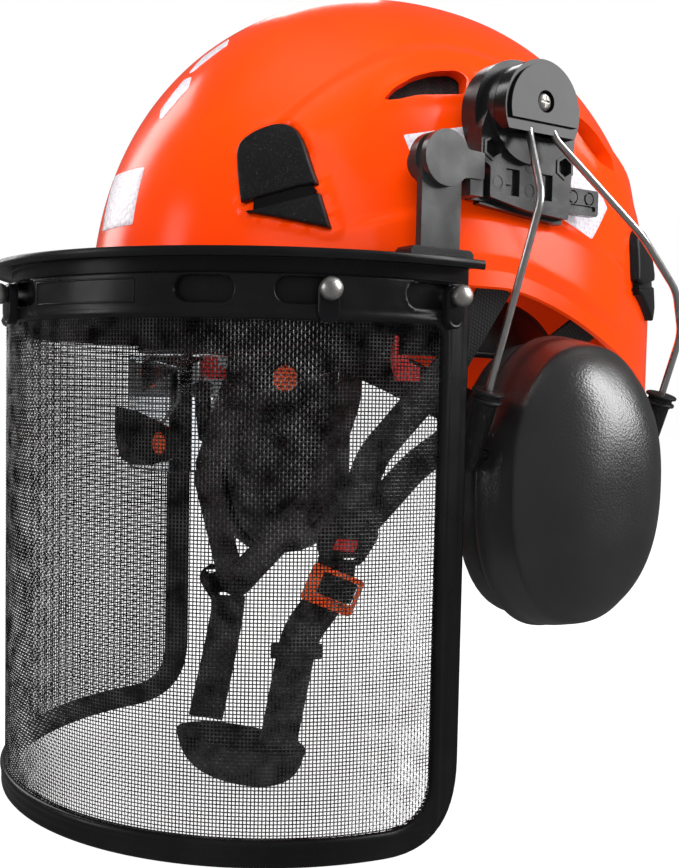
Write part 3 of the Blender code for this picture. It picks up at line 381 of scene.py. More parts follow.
def inside(points, outline):
    """Even-odd test of many points against one outline."""
    x, y = points[:, 0], points[:, 1]
    hit = np.zeros(len(points), bool)
    for (x0, y0), (x1, y1) in zip(outline, outline[1:] + outline[:1]):
        if y0 == y1:
            continue
        crosses = (y0 > y) != (y1 > y)
        hit ^= crosses & (x < (x1 - x0) * (y - y0) / (y1 - y0) + x0)
    return hit


def slab(outer, holes, steps, mapping, bottom, spacing, relief=None, hole_steps=None):
    """A plate on any surface: outline with holes, edge profile (inset, lift), mapping of arrays."""
    outer = anticlockwise(outer)
    holes = [h if signed_area(h) < 0 else h[::-1] for h in holes]
    points, lifts, edges, last = [], [], [], {}
    for number, outline in enumerate([outer] + holes):
        for distance, lift in (steps if number == 0 else (hole_steps or steps)):
            ring = inset(outline, distance) if distance else outline
            start = len(points)
            points += ring
            lifts += [lift] * len(ring)
            edges += [(start + i, start + (i + 1) % len(ring)) for i in range(len(ring))]
            last[number] = ring
    low, high = np.min(outer, axis=0), np.max(outer, axis=0)
    grid = np.array([(a, b) for a in np.arange(low[0], high[0], spacing)
                     for b in np.arange(low[1], high[1], spacing * 0.9)] or [(low[0], low[1])])
    keep = inside(grid, inset(last[0], spacing * 0.3))
    for number in range(1, len(holes) + 1):
        keep &= ~inside(grid, inset(last[number], spacing * 0.3)[::-1])
    points += [tuple(p) for p in grid[keep]]
    lifts += [steps[-1][1]] * int(keep.sum())
    verts, _, faces, origin, _, _ = geometry.delaunay_2d_cdt([Vector(p) for p in points], edges, [], 1, 1e-5)
    flat = np.array([tuple(v) for v in verts])
    lift = np.array([lifts[o[0]] if o else steps[-1][1] for o in origin])
    if relief:
        lift = lift + relief(flat[:, 0], flat[:, 1])
    centers = np.array([flat[list(f)].mean(axis=0) for f in faces])
    keep = np.ones(len(faces), bool)
    for hole in holes:
        keep &= ~inside(centers, hole)
    faces = [f for f, k in zip(faces, keep) if k]
    top = mapping(flat[:, 0], flat[:, 1], lift)
    base = mapping(flat[:, 0], flat[:, 1], np.full(len(flat), bottom))
    return solid_from(flat, faces, top, base)


def solid_from(flat, faces, top, base):
    """Close two copies of a triangulated sheet with walls round every edge."""
    bm = bmesh.new()
    uv = bm.loops.layers.uv.new("UVMap")
    used = sorted({i for f in faces for i in f})
    upper = {i: bm.verts.new(top[i]) for i in used}
    lower = {i: bm.verts.new(base[i]) for i in used}
    count = {}
    for f in faces:
        for a, b in zip(f, f[1:] + f[:1]):
            count[(a, b)] = 1
    spot = {v: flat[i] for table in (upper, lower) for i, v in table.items()}
    for f in faces:
        bm.faces.new([upper[i] for i in f])
        bm.faces.new([lower[i] for i in reversed(f)])
    for a, b in count:
        if (b, a) not in count:
            bm.faces.new((upper[b], upper[a], lower[a], lower[b]))
    for face in bm.faces:
        for loop in face.loops:
            loop[uv].uv = spot[loop.vert] * MM
    return bm


def prism(outline, low, high, mapping):
    """Solid between two depths of a mapping, with the same outline at both."""
    bm = bmesh.new()
    rings = [[bm.verts.new(mapping(a, b, depth)) for a, b in outline] for depth in (low, high)]
    bm.faces.new(rings[0][::-1])
    bm.faces.new(rings[1])
    for i in range(len(outline)):
        j = (i + 1) % len(outline)
        bm.faces.new((rings[0][i], rings[0][j], rings[1][j], rings[1][i]))
    return bm


def loft(rings, closed=False):
    """Skin over rings of equal length, capped at both ends or joined into a loop."""
    bm = bmesh.new()
    rows = [[bm.verts.new(p) for p in ring] for ring in rings]
    pairs = list(zip(rows, rows[1:])) + ([(rows[-1], rows[0])] if closed else [])
    for low, high in pairs:
        for i in range(len(low)):
            j = (i + 1) % len(low)
            bm.faces.new((low[i], low[j], high[j], high[i]))
    if not closed:
        bm.faces.new(rows[0][::-1])
        bm.faces.new(rows[-1])
    return bm


def ring_around(center, across, up, radius, steps):
    angles = [2 * math.pi * k / steps for k in range(steps)]
    return [center + radius * (math.cos(a) * across + math.sin(a) * up) for a in angles]


def lathe(profile, origin, axis, steps=48):
    """Turned body: the profile holds pairs of distance along the axis and radius."""
    origin, axis = Vector(origin), Vector(axis).normalized()
    across = axis.orthogonal().normalized()
    up = axis.cross(across)
    return loft([ring_around(origin + along * axis, across, up, radius, steps) for along, radius in profile])


def rod(start, end, radius, steps=32):
    start, end = Vector(start), Vector(end)
    return lathe([(0, radius), ((end - start).length, radius)], start, end - start, steps)


def sideways(side):
    """Mapping from (y, z, distance from the middle plane) to one side of the helmet."""
    return lambda a, b, depth: Vector((side * depth, a, b))


def drum(a, b, radius, low, high, mapping, steps=48, start=0.0):
    """Round or, with few steps, many-sided prism."""
    return prism(outline_circle(a, b, radius, steps, start), low, high, mapping)


def cut(bm):
    return "DIFFERENCE", bm


def join(bm):
    return "UNION", bm


def box(low, high, side=1):
    (x0, y0, z0), (x1, y1, z1) = low, high
    return prism(rectangle(y0, y1, z0, z1), x0, x1, sideways(side))


def rounded_path(corners, radius, steps=8):
    """Open path with a smooth bend at each corner."""
    corners = [Vector(c) for c in corners]
    path = corners[:1]
    for before, corner, after in zip(corners, corners[1:], corners[2:]):
        reach = min(radius, (before - corner).length / 2, (after - corner).length / 2)
        path += bend(before, corner, after, reach, steps)
    return path + corners[-1:]


def resample(path, spacing):
    made = [path[0]]
    for here, after in zip(path, path[1:]):
        parts = max(1, int(round((after - here).length / spacing)))
        made += [here.lerp(after, (k + 1) / parts) for k in range(parts)]
    return made


def tube(path, radius, steps=20):
    """Round bar along a path, with a frame carried from point to point."""
    rings = []
    across = (path[1] - path[0]).orthogonal().normalized()
    for i, point in enumerate(path):
        along = (path[min(i + 1, len(path) - 1)] - path[max(i - 1, 0)]).normalized()
        across = (across - across.dot(along) * along).normalized()
        rings.append(ring_around(point, across, along.cross(across), radius, steps))
    return loft(rings)


def solve(base, operations):
    """Apply boolean steps, each a cut or a join, to a bmesh."""
    things = []
    for bm in [base] + [bm for _, bm in operations]:
        bmesh.ops.recalc_face_normals(bm, faces=bm.faces)
        mesh = bpy.data.meshes.new("tool")
        bm.to_mesh(mesh)
        bm.free()
        thing = bpy.data.objects.new("tool", mesh)
        bpy.context.collection.objects.link(thing)
        things.append(thing)
    for (operation, _), helper in zip(operations, things[1:]):
        step = things[0].modifiers.new("step", "BOOLEAN")
        step.operation, step.object, step.solver = operation, helper, "EXACT"
    shape = things[0].evaluated_get(bpy.context.evaluated_depsgraph_get())
    made = bmesh.new()
    made.from_mesh(shape.to_mesh())
    for thing in things:
        mesh = thing.data
        bpy.data.objects.remove(thing)
        bpy.data.meshes.remove(mesh)
    return made


def to_object(name, bm):
    """A new object from a bmesh in millimetres."""
    bmesh.ops.recalc_face_normals(bm, faces=bm.faces)
    bmesh.ops.scale(bm, vec=(MM, MM, MM), verts=bm.verts)
    mesh = bpy.data.meshes.new(name)
    bm.to_mesh(mesh)
    bm.free()
    return bpy.data.objects.new(name, mesh)


def piece(name, bm, look, body, nodes=(), angle=35.0, bevel=0.0, segments=3):
    """Turn a bmesh in millimetres into a finished piece that rides on a body."""
    return dress(to_object(name, bm), look, body, nodes, angle, bevel, segments)


def dress(thing, look, body, nodes, angle=35.0, bevel=0.0, segments=3):
    """Give an object its look and edges, and state what it rides and its CAD nodes."""
    mesh = thing.data
    bpy.context.collection.objects.link(thing)
    mesh.shade_smooth()
    mesh.set_sharp_from_angle(angle=math.radians(angle))
    mesh.materials.append(look.made)
    if bevel:
        soften = thing.modifiers.new("edge", "BEVEL")
        soften.width = bevel * MM
        soften.segments = segments
        soften.limit_method = "ANGLE"
        soften.angle_limit = math.radians(35)
        mesh.set_sharp_from_angle(angle=math.radians(180))
        smooth = thing.modifiers.new("weight", "WEIGHTED_NORMAL")
        smooth.keep_sharp = True
    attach(thing, body)
    if nodes:
        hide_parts(*nodes)
    return thing


def refined(node, look, body, bevel, segments):
    """Copy a CAD node, join its triangles into clean faces and soften its edges."""
    bm = bmesh.new()
    bm.from_mesh(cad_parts[node].data)
    bmesh.ops.remove_doubles(bm, verts=bm.verts, dist=2e-6)
    bmesh.ops.dissolve_limit(bm, angle_limit=math.radians(0.6), verts=bm.verts, edges=bm.edges)
    mesh = bpy.data.meshes.new(node)
    bm.to_mesh(mesh)
    bm.free()
    mesh.materials.clear()
    for attribute in [a.name for a in mesh.attributes if a.name == "custom_normal"]:
        mesh.attributes.remove(mesh.attributes[attribute])
    thing = bpy.data.objects.new(f"{node}_skin", mesh)
    return dress(thing, look, body, (node,), 35.0, bevel, segments)


# ---------------------------------------------------------------- shell
def shell_points(angle, height, grow):
    """Points of the plain dome for arrays of plan angle (radians), height and offset."""
    across, along = np.sin(angle), -np.cos(angle)
    length = np.where(along < 0, SHELL_FRONT, SHELL_BACK) + grow
    width = SHELL_HALF_WIDTH + grow
    reach = (np.abs(across / width) ** PLAN_POWER + np.abs(along / length) ** PLAN_POWER) ** (-1 / PLAN_POWER)
    climb = np.maximum(height - SHELL_WIDEST_Z, 0.0) / (SHELL_RISE + grow)
    reach = reach * np.maximum(1 - climb ** RISE_POWER, 0.0) ** (1 / RISE_POWER)
    return np.stack([reach * across, reach * along, height + 0 * reach], axis=-1)


# Lines and outlines on the shell's left side, as (degrees of plan angle, height)
RIDGE = [(33.5, 78), (36.5, 85.5), (39.5, 92.5), (45, 102), (51, 110.5), (59, 116.8), (69, 120),
         (80, 120.5), (92, 118), (104, 112), (116, 103), (127, 91), (136, 78), (142, 66)]
CREASE = [(45.4, 37.5), (49.7, 40.3), (53.8, 43), (61.2, 46.9), (72.2, 47.9), (80.9, 47.5),
          (94.1, 45.1), (106.7, 41), (120.8, 33.7), (127, 29)]
FRONT_VENT = [(53.2, 90.4), (55.6, 96.5), (60.2, 102.3), (65.4, 105.8), (71.7, 107.7), (74.2, 105.0),
              (73.5, 99.9), (72.7, 97.4), (65.8, 95.7), (60.9, 94.4), (56.5, 91.4)]
REAR_VENT = [(111.1, 85.7), (106.4, 95.0), (108.0, 99.0), (112.6, 97.4), (117.1, 92.4), (122, 83.5),
             (121.6, 75.8), (115, 79)]
TONGUE = [(30.1, 46.7), (28, 67.2), (28.2, 72), (30.6, 76.7), (34.5, 79.5), (37.5, 77.3), (39.2, 71.7),
          (42.4, 54.5), (39.8, 53.6)]
WEDGE = [(30.9, 43.2), (42.8, 50.9), (45, 37.2)]


def chart(points):
    """Flat millimetres for (degrees, height) pairs."""
    return [(a * PLAN_SCALE, z) for a, z in points]


def from_chart(points):
    """3-D places on the left side of the dome for chart pairs of (degrees, height)."""
    pairs = np.array(points, float)
    return shell_points(np.radians(pairs[:, 0]), pairs[:, 1], 0.0)


def near_line(places, line, closed=False):
    """Distance to a polyline, signed by which side (positive below or inside), and how far along it."""
    ends = np.vstack([line, line[:1]]) if closed else line
    best = np.full(len(places), 1e9)
    signed = np.zeros(len(places))
    along = np.zeros(len(places))
    outward = places / np.linalg.norm(places, axis=1)[:, None]
    walked = 0.0
    for a, b in zip(ends, ends[1:]):
        way = b - a
        length = np.linalg.norm(way)
        share = np.clip((places - a) @ way / length ** 2, 0, 1)
        gap = places - (a + share[:, None] * way)
        distance = np.linalg.norm(gap, axis=1)
        side = np.sign(np.einsum("ij,ij->i", np.cross(way / length, outward), gap))
        closer = distance < best
        best[closer] = distance[closer]
        signed[closer] = (distance * side)[closer]
        along[closer] = walked + (share * length)[closer]
        walked += length
    return signed, along, walked


def ease(value):
    value = np.clip(value, 0, 1)
    return value * value * (3 - 2 * value)


def relief(angle, height):
    """How far the moulded ridges and lips stand off the plain dome."""
    mirrored = np.abs(angle)
    places = shell_points(mirrored, height, 0.0)
    total = np.zeros(len(places))
    signed, along, length = near_line(places, from_chart(RIDGE))
    fade = ease(along / 9.0) * ease((length - along) / 30.0)
    step = ease(signed / 8.5 + 0.5) * (1 - ease((signed - 10.0) / 34.0))
    total += 3.2 * fade * step * (np.abs(signed) < 60)
    signed, along, length = near_line(places, from_chart(CREASE))
    fade = ease(along / 16.0) * ease((length - along) / 24.0)
    total += 1.9 * fade * ease(signed / 3.2 + 0.3) * (np.abs(signed) < 80)
    for outline, lift, width in ((FRONT_VENT, 1.7, 2.6), (REAR_VENT, 1.4, 2.6)):
        signed, _, _ = near_line(places, from_chart(outline), True)
        above = 0.45 + 0.55 * ease((height - np.mean([z for _, z in outline])) / 8.0 + 0.3)
        total += lift * above * np.exp(-(np.maximum(np.abs(signed) - 0.6, 0) / width) ** 2)
    for outline in (TONGUE, WEDGE):
        signed, _, _ = near_line(places, from_chart(outline), True)
        within = inside(np.stack([np.degrees(mirrored), height], axis=1), outline)
        total += np.where(within, 0.0, 1.3 * np.exp(-((np.abs(signed) - 2.0) / 1.2) ** 2))
    return total


def rim_height(angle):
    degrees = np.degrees(np.abs(angle))
    turn = np.clip(degrees / RIM_EAR_ANGLE, 0, 1) * math.pi / 2
    front = RIM_FRONT_Z + (RIM_EAR_Z - RIM_FRONT_Z) * np.sin(turn) ** 2
    part = np.clip((degrees - RIM_EAR_ANGLE) / (180 - RIM_EAR_ANGLE), 0, 1)
    back = RIM_EAR_Z + (RIM_NAPE_Z - RIM_EAR_Z) * np.sin(part * math.pi / 2) ** 1.5
    return np.where(degrees < RIM_EAR_ANGLE, front, back)


def shell_sheet(angles, grow):
    """One skin of the shell as rows of points, rim first; grow is its offset from the plain dome."""
    rim = rim_height(angles)
    top = SHELL_WIDEST_Z + SHELL_RISE + grow
    part = np.clip(np.degrees(np.abs(angles)) / PEAK_HALF_ANGLE, 0, 1)
    out = PEAK_REACH * np.cos(part * math.pi / 2) ** 1.2
    drop = grow * np.clip(out / 8.0, 0, 1) * 0.9
    edge = shell_points(angles, rim, grow)
    flat = edge[:, :2] / np.linalg.norm(edge[:, :2], axis=1)[:, None]
    start = rim + 7.0 + drop
    root = shell_points(angles, start, grow)
    tip = np.column_stack([edge[:, :2] + flat * out[:, None], rim + drop - out * 0.14])
    shares = [(k / LIP_ROWS) ** 0.85 for k in range(LIP_ROWS)]
    sheet = [tip * (1 - share) + root * share for share in shares]
    for i in range(SHELL_ROWS):
        height = start + (top - start) * math.sin(i / SHELL_ROWS * math.pi / 2)
        lift = relief(angles, height) if grow == 0 else 0.0
        near = ease((height - start) / 5.0)
        sheet.append(shell_points(angles, height, grow + lift * near))
    return np.array(sheet), np.array((0, 0, top))


def vent_cutter(outline, side):
    """Tapered block that cuts one vent through the shell."""
    pairs = np.array(smooth_outline(outline, 2.0, 4))
    angle = np.radians(pairs[:, 0]) * side
    order = slice(None) if side > 0 else slice(None, None, -1)
    ends = (shell_points(angle, pairs[:, 1], grow)[order] for grow in (-12.0, 14.0))
    return loft([list(map(Vector, end)) for end in ends])


def build_shell(looks):
    """Outer and inner skin, a rounded rim between them, four vents and, behind each vent, a dark foam sheet
    that is painted shade for the shadowed inside of the shell.
    """
    angles = np.linspace(-math.pi, math.pi, SHELL_COLUMNS, endpoint=False)
    around = [(i, (i + 1) % SHELL_COLUMNS) for i in range(SHELL_COLUMNS)]
    bm = bmesh.new()
    skins = []
    for grow in (0.0, -SHELL_WALL):
        sheet, crown = shell_sheet(angles, grow)
        rows = [[bm.verts.new(p) for p in row] for row in sheet]
        pole = bm.verts.new(crown)
        for low, high in zip(rows, rows[1:]):
            for i, j in around:
                bm.faces.new((low[i], low[j], high[j], high[i]))
        for i, j in around:
            bm.faces.new((rows[-1][i], rows[-1][j], pole))
        skins.append((rows[0], sheet[0]))
    (outer, outer_edge), (inner, inner_edge) = skins
    rim = [bm.verts.new(p + np.array((0, 0, -0.8))) for p in (outer_edge + inner_edge) / 2]
    for i, j in around:
        bm.faces.new((outer[i], outer[j], rim[j], rim[i]))
        bm.faces.new((rim[i], rim[j], inner[j], inner[i]))
    cutters = [cut(vent_cutter(outline, side)) for _, side in SIDES for outline in (FRONT_VENT, REAR_VENT)]
    piece("shell_skin", solve(bm, cutters), looks["shell"], "helmet", ("shell",), angle=50)
    for name, side in SIDES:
        for place, outline in (("front", FRONT_VENT), ("rear", REAR_VENT)):
            # Dark foam sheet behind each vent: painted shade, standing in for the inside of the shell in
            # shadow.
            grown = inset(anticlockwise(smooth_outline(chart(outline), 2.0, 4)), -4.0)
            shade_sheet = slab(dense(grown, 2.0), [], [(0, -4.2)], on_shell(side, False), -5.4, 3.0,
                         lambda u, v: 0.5 * np.sin(u * 1.4))
            piece(f"vent_shade_sheet_{place}_{name}", shade_sheet, looks["foam"], "helmet")


def on_shell(side, follow=True):
    """Mapping from chart millimetres and a lift to places on the moulded shell."""
    def mapping(u, v, lift):
        angle = u / PLAN_SCALE * math.pi / 180
        raised = relief(angle, v) if follow else 0.0
        places = shell_points(angle, v, lift + raised)
        places[:, 0] *= side
        return places
    return mapping


def build_tapes(looks):
    """Blank reflective patches stuck on the shell."""
    low_strip = [(3.5, 89.1), (1.4, 94.1), (3, 108.2), (5.9, 108.2), (8.4, 101.5), (5, 88.5)]
    high_strip = [(2.3, 111.4), (1, 120.9), (5.4, 128.2), (9.4, 123), (4.4, 111.3)]
    boomerang = [(57.7, 76.9), (73.4, 84.0), (90, 85.5), (106.5, 76.5), (112.5, 71.5), (116.6, 58.4),
                 (108.2, 42.7), (97.5, 50), (98, 62), (90, 73), (72.9, 75.0), (64.5, 74.0), (59.3, 69.4)]
    patches = {"front": (1, [(-10.3, 68.5), (5.9, 66.7), (6.5, 41.9), (-7.3, 42.4)], 1.2),
               "strip_low": (1, low_strip, 1.5), "strip_high": (1, high_strip, 1.2)}
    for name, side in SIDES:
        patches[f"side_{name}"] = (side, boomerang, 1.0)
    for name, (side, outline, radius) in patches.items():
        smooth = smooth_outline(chart(outline), radius, 4, 2.0)
        bm = slab(smooth, [], [(0, 0.14), (0.25, 0.26)], on_shell(side), -0.4, 3.0)
        piece(f"tape_{name}", bm, looks["tape"], "helmet", angle=60)


def build_clips(looks):
    """Lamp clips: a rounded tongue, a wedge below it and a dark slot between them."""
    rear_tongue = [(125.8, 44.5), (127.0, 49.5), (130.0, 52.5), (134, 52.0), (136.5, 47.5), (139.8, 33.4),
                   (138.6, 30.4), (127.2, 26.0), (124.6, 27.8)]
    rear_wedge = [(124.9, 23.6), (138.6, 27.4), (139.6, 17.4), (136.5, 10.7)]
    front_floor = [(32.2, 42.6), (32.0, 49.5), (38.0, 54.6), (41.2, 54.8), (42.4, 51.6), (40.0, 46.5)]
    rear_floor = [(126.0, 21.0), (126.0, 29.0), (133.0, 32.0), (138.4, 31.0), (138.4, 24.0)]
    shapes = {"front": (TONGUE, WEDGE, front_floor, [0.5, 4, 4, 4, 4, 4, 4, 0.5, 0.5]),
              "rear": (rear_tongue, rear_wedge, rear_floor, [1, 3, 3, 3, 3, 1, 0.5, 0.5, 1])}
    arch = lambda u, v: 0.3 * np.cos((v - v.mean()) / 12.0)
    for name, side in SIDES:
        mapping = on_shell(side, False)
        for place, (tongue, wedge, floor, radii) in shapes.items():
            node = (f"lamp_clip_{place}_{name}",)
            for part, outline, look, edge, spacing, swell, nodes in (
                    ("tongue", smooth_outline(chart(tongue), radii, 6, 1.2), "clip",
                     [(0, 3.0), (0.3, 3.6), (0.8, 3.9)], 1.6, arch, node),
                    ("wedge", smooth_outline(chart(wedge), 0.5, 3, 1.2), "clip",
                     [(0, 2.9), (0.3, 3.4), (0.8, 3.6)], 1.6, None, ()),
                    ("floor", smooth_outline(chart(floor), 0.8, 3, 1.5), "gloss",
                     [(0, 2.75)], 2.0, None, ())):
                bm = slab(outline, [], edge, mapping, -0.4, spacing, swell)
                piece(f"clip_{part}_{place}_{name}", bm, looks[look], "helmet", nodes, angle=60)


# ---------------------------------------------------------------- visor
def on_visor(u, v, lift):
    """Mapping from flat millimetres and a lift to places on the bent visor."""
    angle = u / VISOR_RADIUS
    radius = FRAME_OUTER + lift
    return np.stack([radius * np.sin(angle), VISOR_AXIS_Y - radius * np.cos(angle), v + 0 * u], axis=-1)


def visor_point(radius, angle, height):
    return Vector((radius * math.sin(angle), VISOR_AXIS_Y - radius * math.cos(angle), height))


def bulge(value, middle, width):
    """Bell curve that is 1 in the middle."""
    return np.exp(-((value - middle) / width) ** 2)


def build_visor_frame(looks):
    """Bent frame with grooves, slots for the fasteners and a blank label plate."""
    edge = VISOR_RADIUS * VISOR_HALF_ANGLE
    hole = edge - FRAME_END_STRIP
    low, high = FRAME_CORNER, 6.0
    outer = smooth_outline(rectangle(-edge, edge, FRAME_BOTTOM_Z, FRAME_TOP_Z),
                           [low * 1.25, low * 1.25, high, high], 14, 2.2)
    window = smooth_outline(rectangle(-hole, hole, WINDOW_BOTTOM_Z, WINDOW_TOP_Z),
                            [WINDOW_CORNER * 1.25] * 2 + [high] * 2, 12, 2.2)
    middles = [math.radians(d) * VISOR_RADIUS for d in SLOT_ANGLES]
    slots = [obround(middle, FASTENER_Z - 0.2, 22.0, 9.4, 10) for middle in middles]

    def shape(u, v):
        """Grooves and beads parallel to the outer edge, the window and the slots."""
        side = edge - np.abs(u)
        top, bottom = FRAME_TOP_Z - v, v - FRAME_BOTTOM_Z
        out = np.minimum(np.minimum(side, bottom), 60.0)
        corner_u = np.maximum(np.abs(u) - (edge - low), 0)
        corner_v = np.maximum((FRAME_BOTTOM_Z + low) - v, 0)
        rounded = low - np.hypot(corner_u, corner_v)
        out = np.where((corner_u > 0) & (corner_v > 0), rounded, out)
        lift = -0.55 * bulge(out, 3.1, 0.55) - 0.35 * bulge(top, 2.0, 0.4)
        gap_u, gap_v = np.abs(u) - hole, np.maximum(v - WINDOW_TOP_Z, WINDOW_BOTTOM_Z - v)
        reach = np.maximum(gap_u, gap_v)
        both = (gap_u > 0) & (gap_v > 0)
        reach = np.where(both, np.hypot(np.maximum(gap_u, 0), np.maximum(gap_v, 0)), reach)
        lift += 0.55 * bulge(reach, 2.0, 0.9) - 0.35 * bulge(reach, 3.9, 0.45)
        for middle in middles:
            distance = np.hypot(np.maximum(np.abs(u - middle) - 6.3, 0), v - FASTENER_Z + 0.2) - 4.7
            lift += 0.3 * bulge(distance, 1.3, 0.45)
        return lift

    bm = slab(outer, [window] + slots, [(0, -1.5), (0.35, -0.6), (0.9, -0.15), (1.6, 0.0)], on_visor,
              FRAME_INNER - FRAME_OUTER, 1.25, shape, [(0, -0.9), (0.4, -0.2), (0.9, 0.0)])
    piece("visor_frame_skin", bm, looks["satin"], "visor", ("visor_frame",), angle=55)
    rim = smooth_outline(rectangle(*LABEL_PLATE), 0.8, 3, 2.0)
    inner = inset(rim, 0.8)
    bm = slab(rim, [inner], [(0, 0.05), (0.2, 0.3)], on_visor, -0.8, 2.0)
    piece("visor_label_rim", bm, looks["satin"], "visor", angle=55)
    bm = slab(inner, [], [(0, -0.1)], on_visor, -0.8, 2.0)
    piece("visor_label_plate", bm, looks["grey"], "visor", angle=55)


def wire_faces(solid, spots):
    """Sides and end caps of four-sided wires, as places in a (wires, spots, 4) list of points."""
    index = np.arange(len(solid) * spots * 4).reshape(len(solid), spots, 4)
    here, after = index[:, :-1], index[:, 1:]
    quads = []
    for k in range(4):
        m = (k + 1) % 4
        quads.append(np.stack([here[..., k], here[..., m], after[..., m], after[..., k]], axis=-1)[solid])
    first = solid & ~np.pad(solid, ((0, 0), (1, 0)))[:, :-1]
    final = solid & ~np.pad(solid, ((0, 0), (0, 1)))[:, 1:]
    return np.concatenate(quads + [here[first][:, ::-1], after[final]])


def build_screen(looks):
    """Woven wire: every warp and weft wire runs over and under the next."""
    edge = VISOR_RADIUS * VISOR_HALF_ANGLE - FRAME_END_STRIP + SCREEN_OVERLAP
    top, bottom = WINDOW_TOP_Z + SCREEN_OVERLAP, WINDOW_BOTTOM_Z - SCREEN_OVERLAP
    reach = math.floor(edge / SCREEN_PITCH)
    columns = np.arange(-reach, reach + 1)
    rows = np.arange(math.ceil(bottom / SCREEN_PITCH), math.floor(top / SCREEN_PITCH) + 1)
    u, v = np.meshgrid(columns * SCREEN_PITCH, rows * SCREEN_PITCH, indexing="ij")
    corner_u = np.maximum(np.abs(u) - (edge - WINDOW_CORNER), 0)
    corner_v = np.maximum((bottom + WINDOW_CORNER) - v, 0)
    within = np.hypot(corner_u, corner_v) < WINDOW_CORNER
    sway = np.where((np.add.outer(columns, rows) % 2) == 0, SCREEN_SWAY, -SCREEN_SWAY)
    number = 0
    for tables in ((u, v, sway, within), (u.T, v.T, -sway.T, within.T)):
        level = number == 0
        grid_u, grid_v, offset, keep = tables
        corners = []
        for a, b in ((SCREEN_WIRE, 0), (0, SCREEN_WIRE), (-SCREEN_WIRE, 0), (0, -SCREEN_WIRE)):
            radius = SCREEN_RADIUS + offset + b
            angle = grid_u / VISOR_RADIUS + (a / VISOR_RADIUS if level else 0.0)
            height = grid_v + (0.0 if level else a)
            corners.append(np.stack([radius * np.sin(angle), VISOR_AXIS_Y - radius * np.cos(angle), height],
                                    axis=-1))
        points = np.stack(corners, axis=2)
        solid = keep[:, :-1] & keep[:, 1:]
        bounds = [len(points) * part // SCREEN_PARTS for part in range(SCREEN_PARTS + 1)]
        for start, end in zip(bounds, bounds[1:]):
            number += 1
            faces = wire_faces(solid[start:end], points.shape[1])
            used, renumbered = np.unique(faces, return_inverse=True)
            mesh = bpy.data.meshes.new(f"screen_wires_{number}")
            mesh.from_pydata((points[start:end].reshape(-1, 3)[used] * MM).tolist(), [],
                             renumbered.reshape(faces.shape).tolist())
            mesh.update()
            thing = bpy.data.objects.new(mesh.name, mesh)
            dress(thing, looks["wire_mesh"], "visor", ("mesh_screen",) if number == 1 else (), 60.0)


def build_brow_guard(looks):
    """Skirt and flange in one bent section, with a rolled outer edge."""
    low, high = FLANGE_LOW_Z, FLANGE_HIGH_Z
    section = [(SKIRT_INNER, SKIRT_BOTTOM_Z), (SKIRT_OUTER, SKIRT_BOTTOM_Z), (SKIRT_OUTER, low),
               (FLANGE_OUTER - 1.6, low), (FLANGE_OUTER - 0.9, low - 0.8), (FLANGE_OUTER + 0.2, low - 0.8),
               (FLANGE_OUTER + 0.6, low + 1.4), (FLANGE_OUTER + 0.2, high), (FLANGE_OUTER - 2.4, high),
               (FLANGE_OUTER - 2.9, high - 0.7), (SKIRT_INNER + 1.5, high - 0.7), (SKIRT_INNER, high)]
    section = smooth_outline(section, 0.45, 3)
    reach, steps = math.radians(97.6), 150
    rings = [[visor_point(r, -reach + 2 * reach * i / steps, z) for r, z in section]
             for i in range(steps + 1)]
    piece("brow_guard_skin", loft(rings), looks["satin"], "visor", ("brow_guard",), angle=40)


def build_fasteners(looks):
    """Ball-headed studs and their turn buttons."""
    ball = [(131.0 + 3.9 * math.sin(t), 4.3 * math.cos(t)) for t in np.linspace(-1.05, 1.45, 16)]
    stud = [(116.4, 4.2), (117.4, 4.2), (117.5, 2.4), (127.3, 2.4)] + ball
    button = [(a, b) for b, a in obround(-4.0, 0, 16.5, 8.4, 12)]
    edge, hole_edge = [(0, 127.1), (0.3, 127.7), (0.8, 128.0), (1.3, 128.1)], [(0, 128.0), (0.25, 128.1)]
    dip = lambda u, v: -0.35 * bulge(np.hypot(u, np.maximum(-8.1 - v, 0)) - 2.6, 0.0, 0.35) * (v < -3.4)
    for number, degrees in enumerate(FASTENER_ANGLES, start=1):
        angle = math.radians(degrees)
        out = Vector((math.sin(angle), -math.cos(angle), 0))
        along = Vector((math.cos(angle), math.sin(angle), 0))
        center = visor_point(0, angle, FASTENER_Z)
        body = f"turn_fastener_{number}"
        piece(f"stud_ball_{number}", lathe(stud, center, out, 32), looks["steel"], body,
              (f"fastener_stud_{number}",), angle=50)

        def mapping(u, v, lift):
            return np.array(center) + np.outer(lift, out) + np.outer(u, along) + np.outer(v, (0, 0, 1))

        bm = slab(button, [outline_circle(0, 0, 2.75, 24)], edge, mapping, 124.5, 0.7, dip, hole_edge)
        piece(f"turn_cap_{number}", bm, looks["gloss"], body, (f"turn_button_{number}",),
              angle=40)


def build_arm(looks, name, side):
    """Side arm of the visor: hub on the pivot, flat bar and a stippled foot."""
    sides = sideways(side)
    outline = outline_circle(PIVOT_Y, PIVOT_Z, ARM_HALF_WIDTH, 40, 0, 180)
    outline += [(PIVOT_Y - ARM_HALF_WIDTH, 27.5), (PIVOT_Y + ARM_HALF_WIDTH, 27.5)]
    bm = solve(prism(outline, 115.6, 118.9, sides),
               [join(drum(PIVOT_Y, PIVOT_Z, HUB_RADIUS, 111.6, 116.0, sides, 64)),
                join(drum(PIVOT_Y, PIVOT_Z, 6.6, 105.0, 112.0, sides)),
                cut(drum(PIVOT_Y, PIVOT_Z, HUB_PIN_RADIUS + 0.4, 100, 130, sides, 32))])
    piece(f"visor_arm_bar_{name}", bm, looks["grey"], "visor", (f"visor_arm_{name}",),
          bevel=0.5)
    low, high = FLANGE_HIGH_Z + 0.3, 29.6
    foot = smooth_outline([(-75.0, low), (-44.5, low), (-44.5, 28.2), (-46.0, high), (-73.5, high),
                           (-75.0, 28.2)], 0.3, 2)
    piece(f"visor_arm_foot_{name}", prism(foot, 111.5, 121.5, sides), looks["clip"], "visor",
          bevel=0.6)


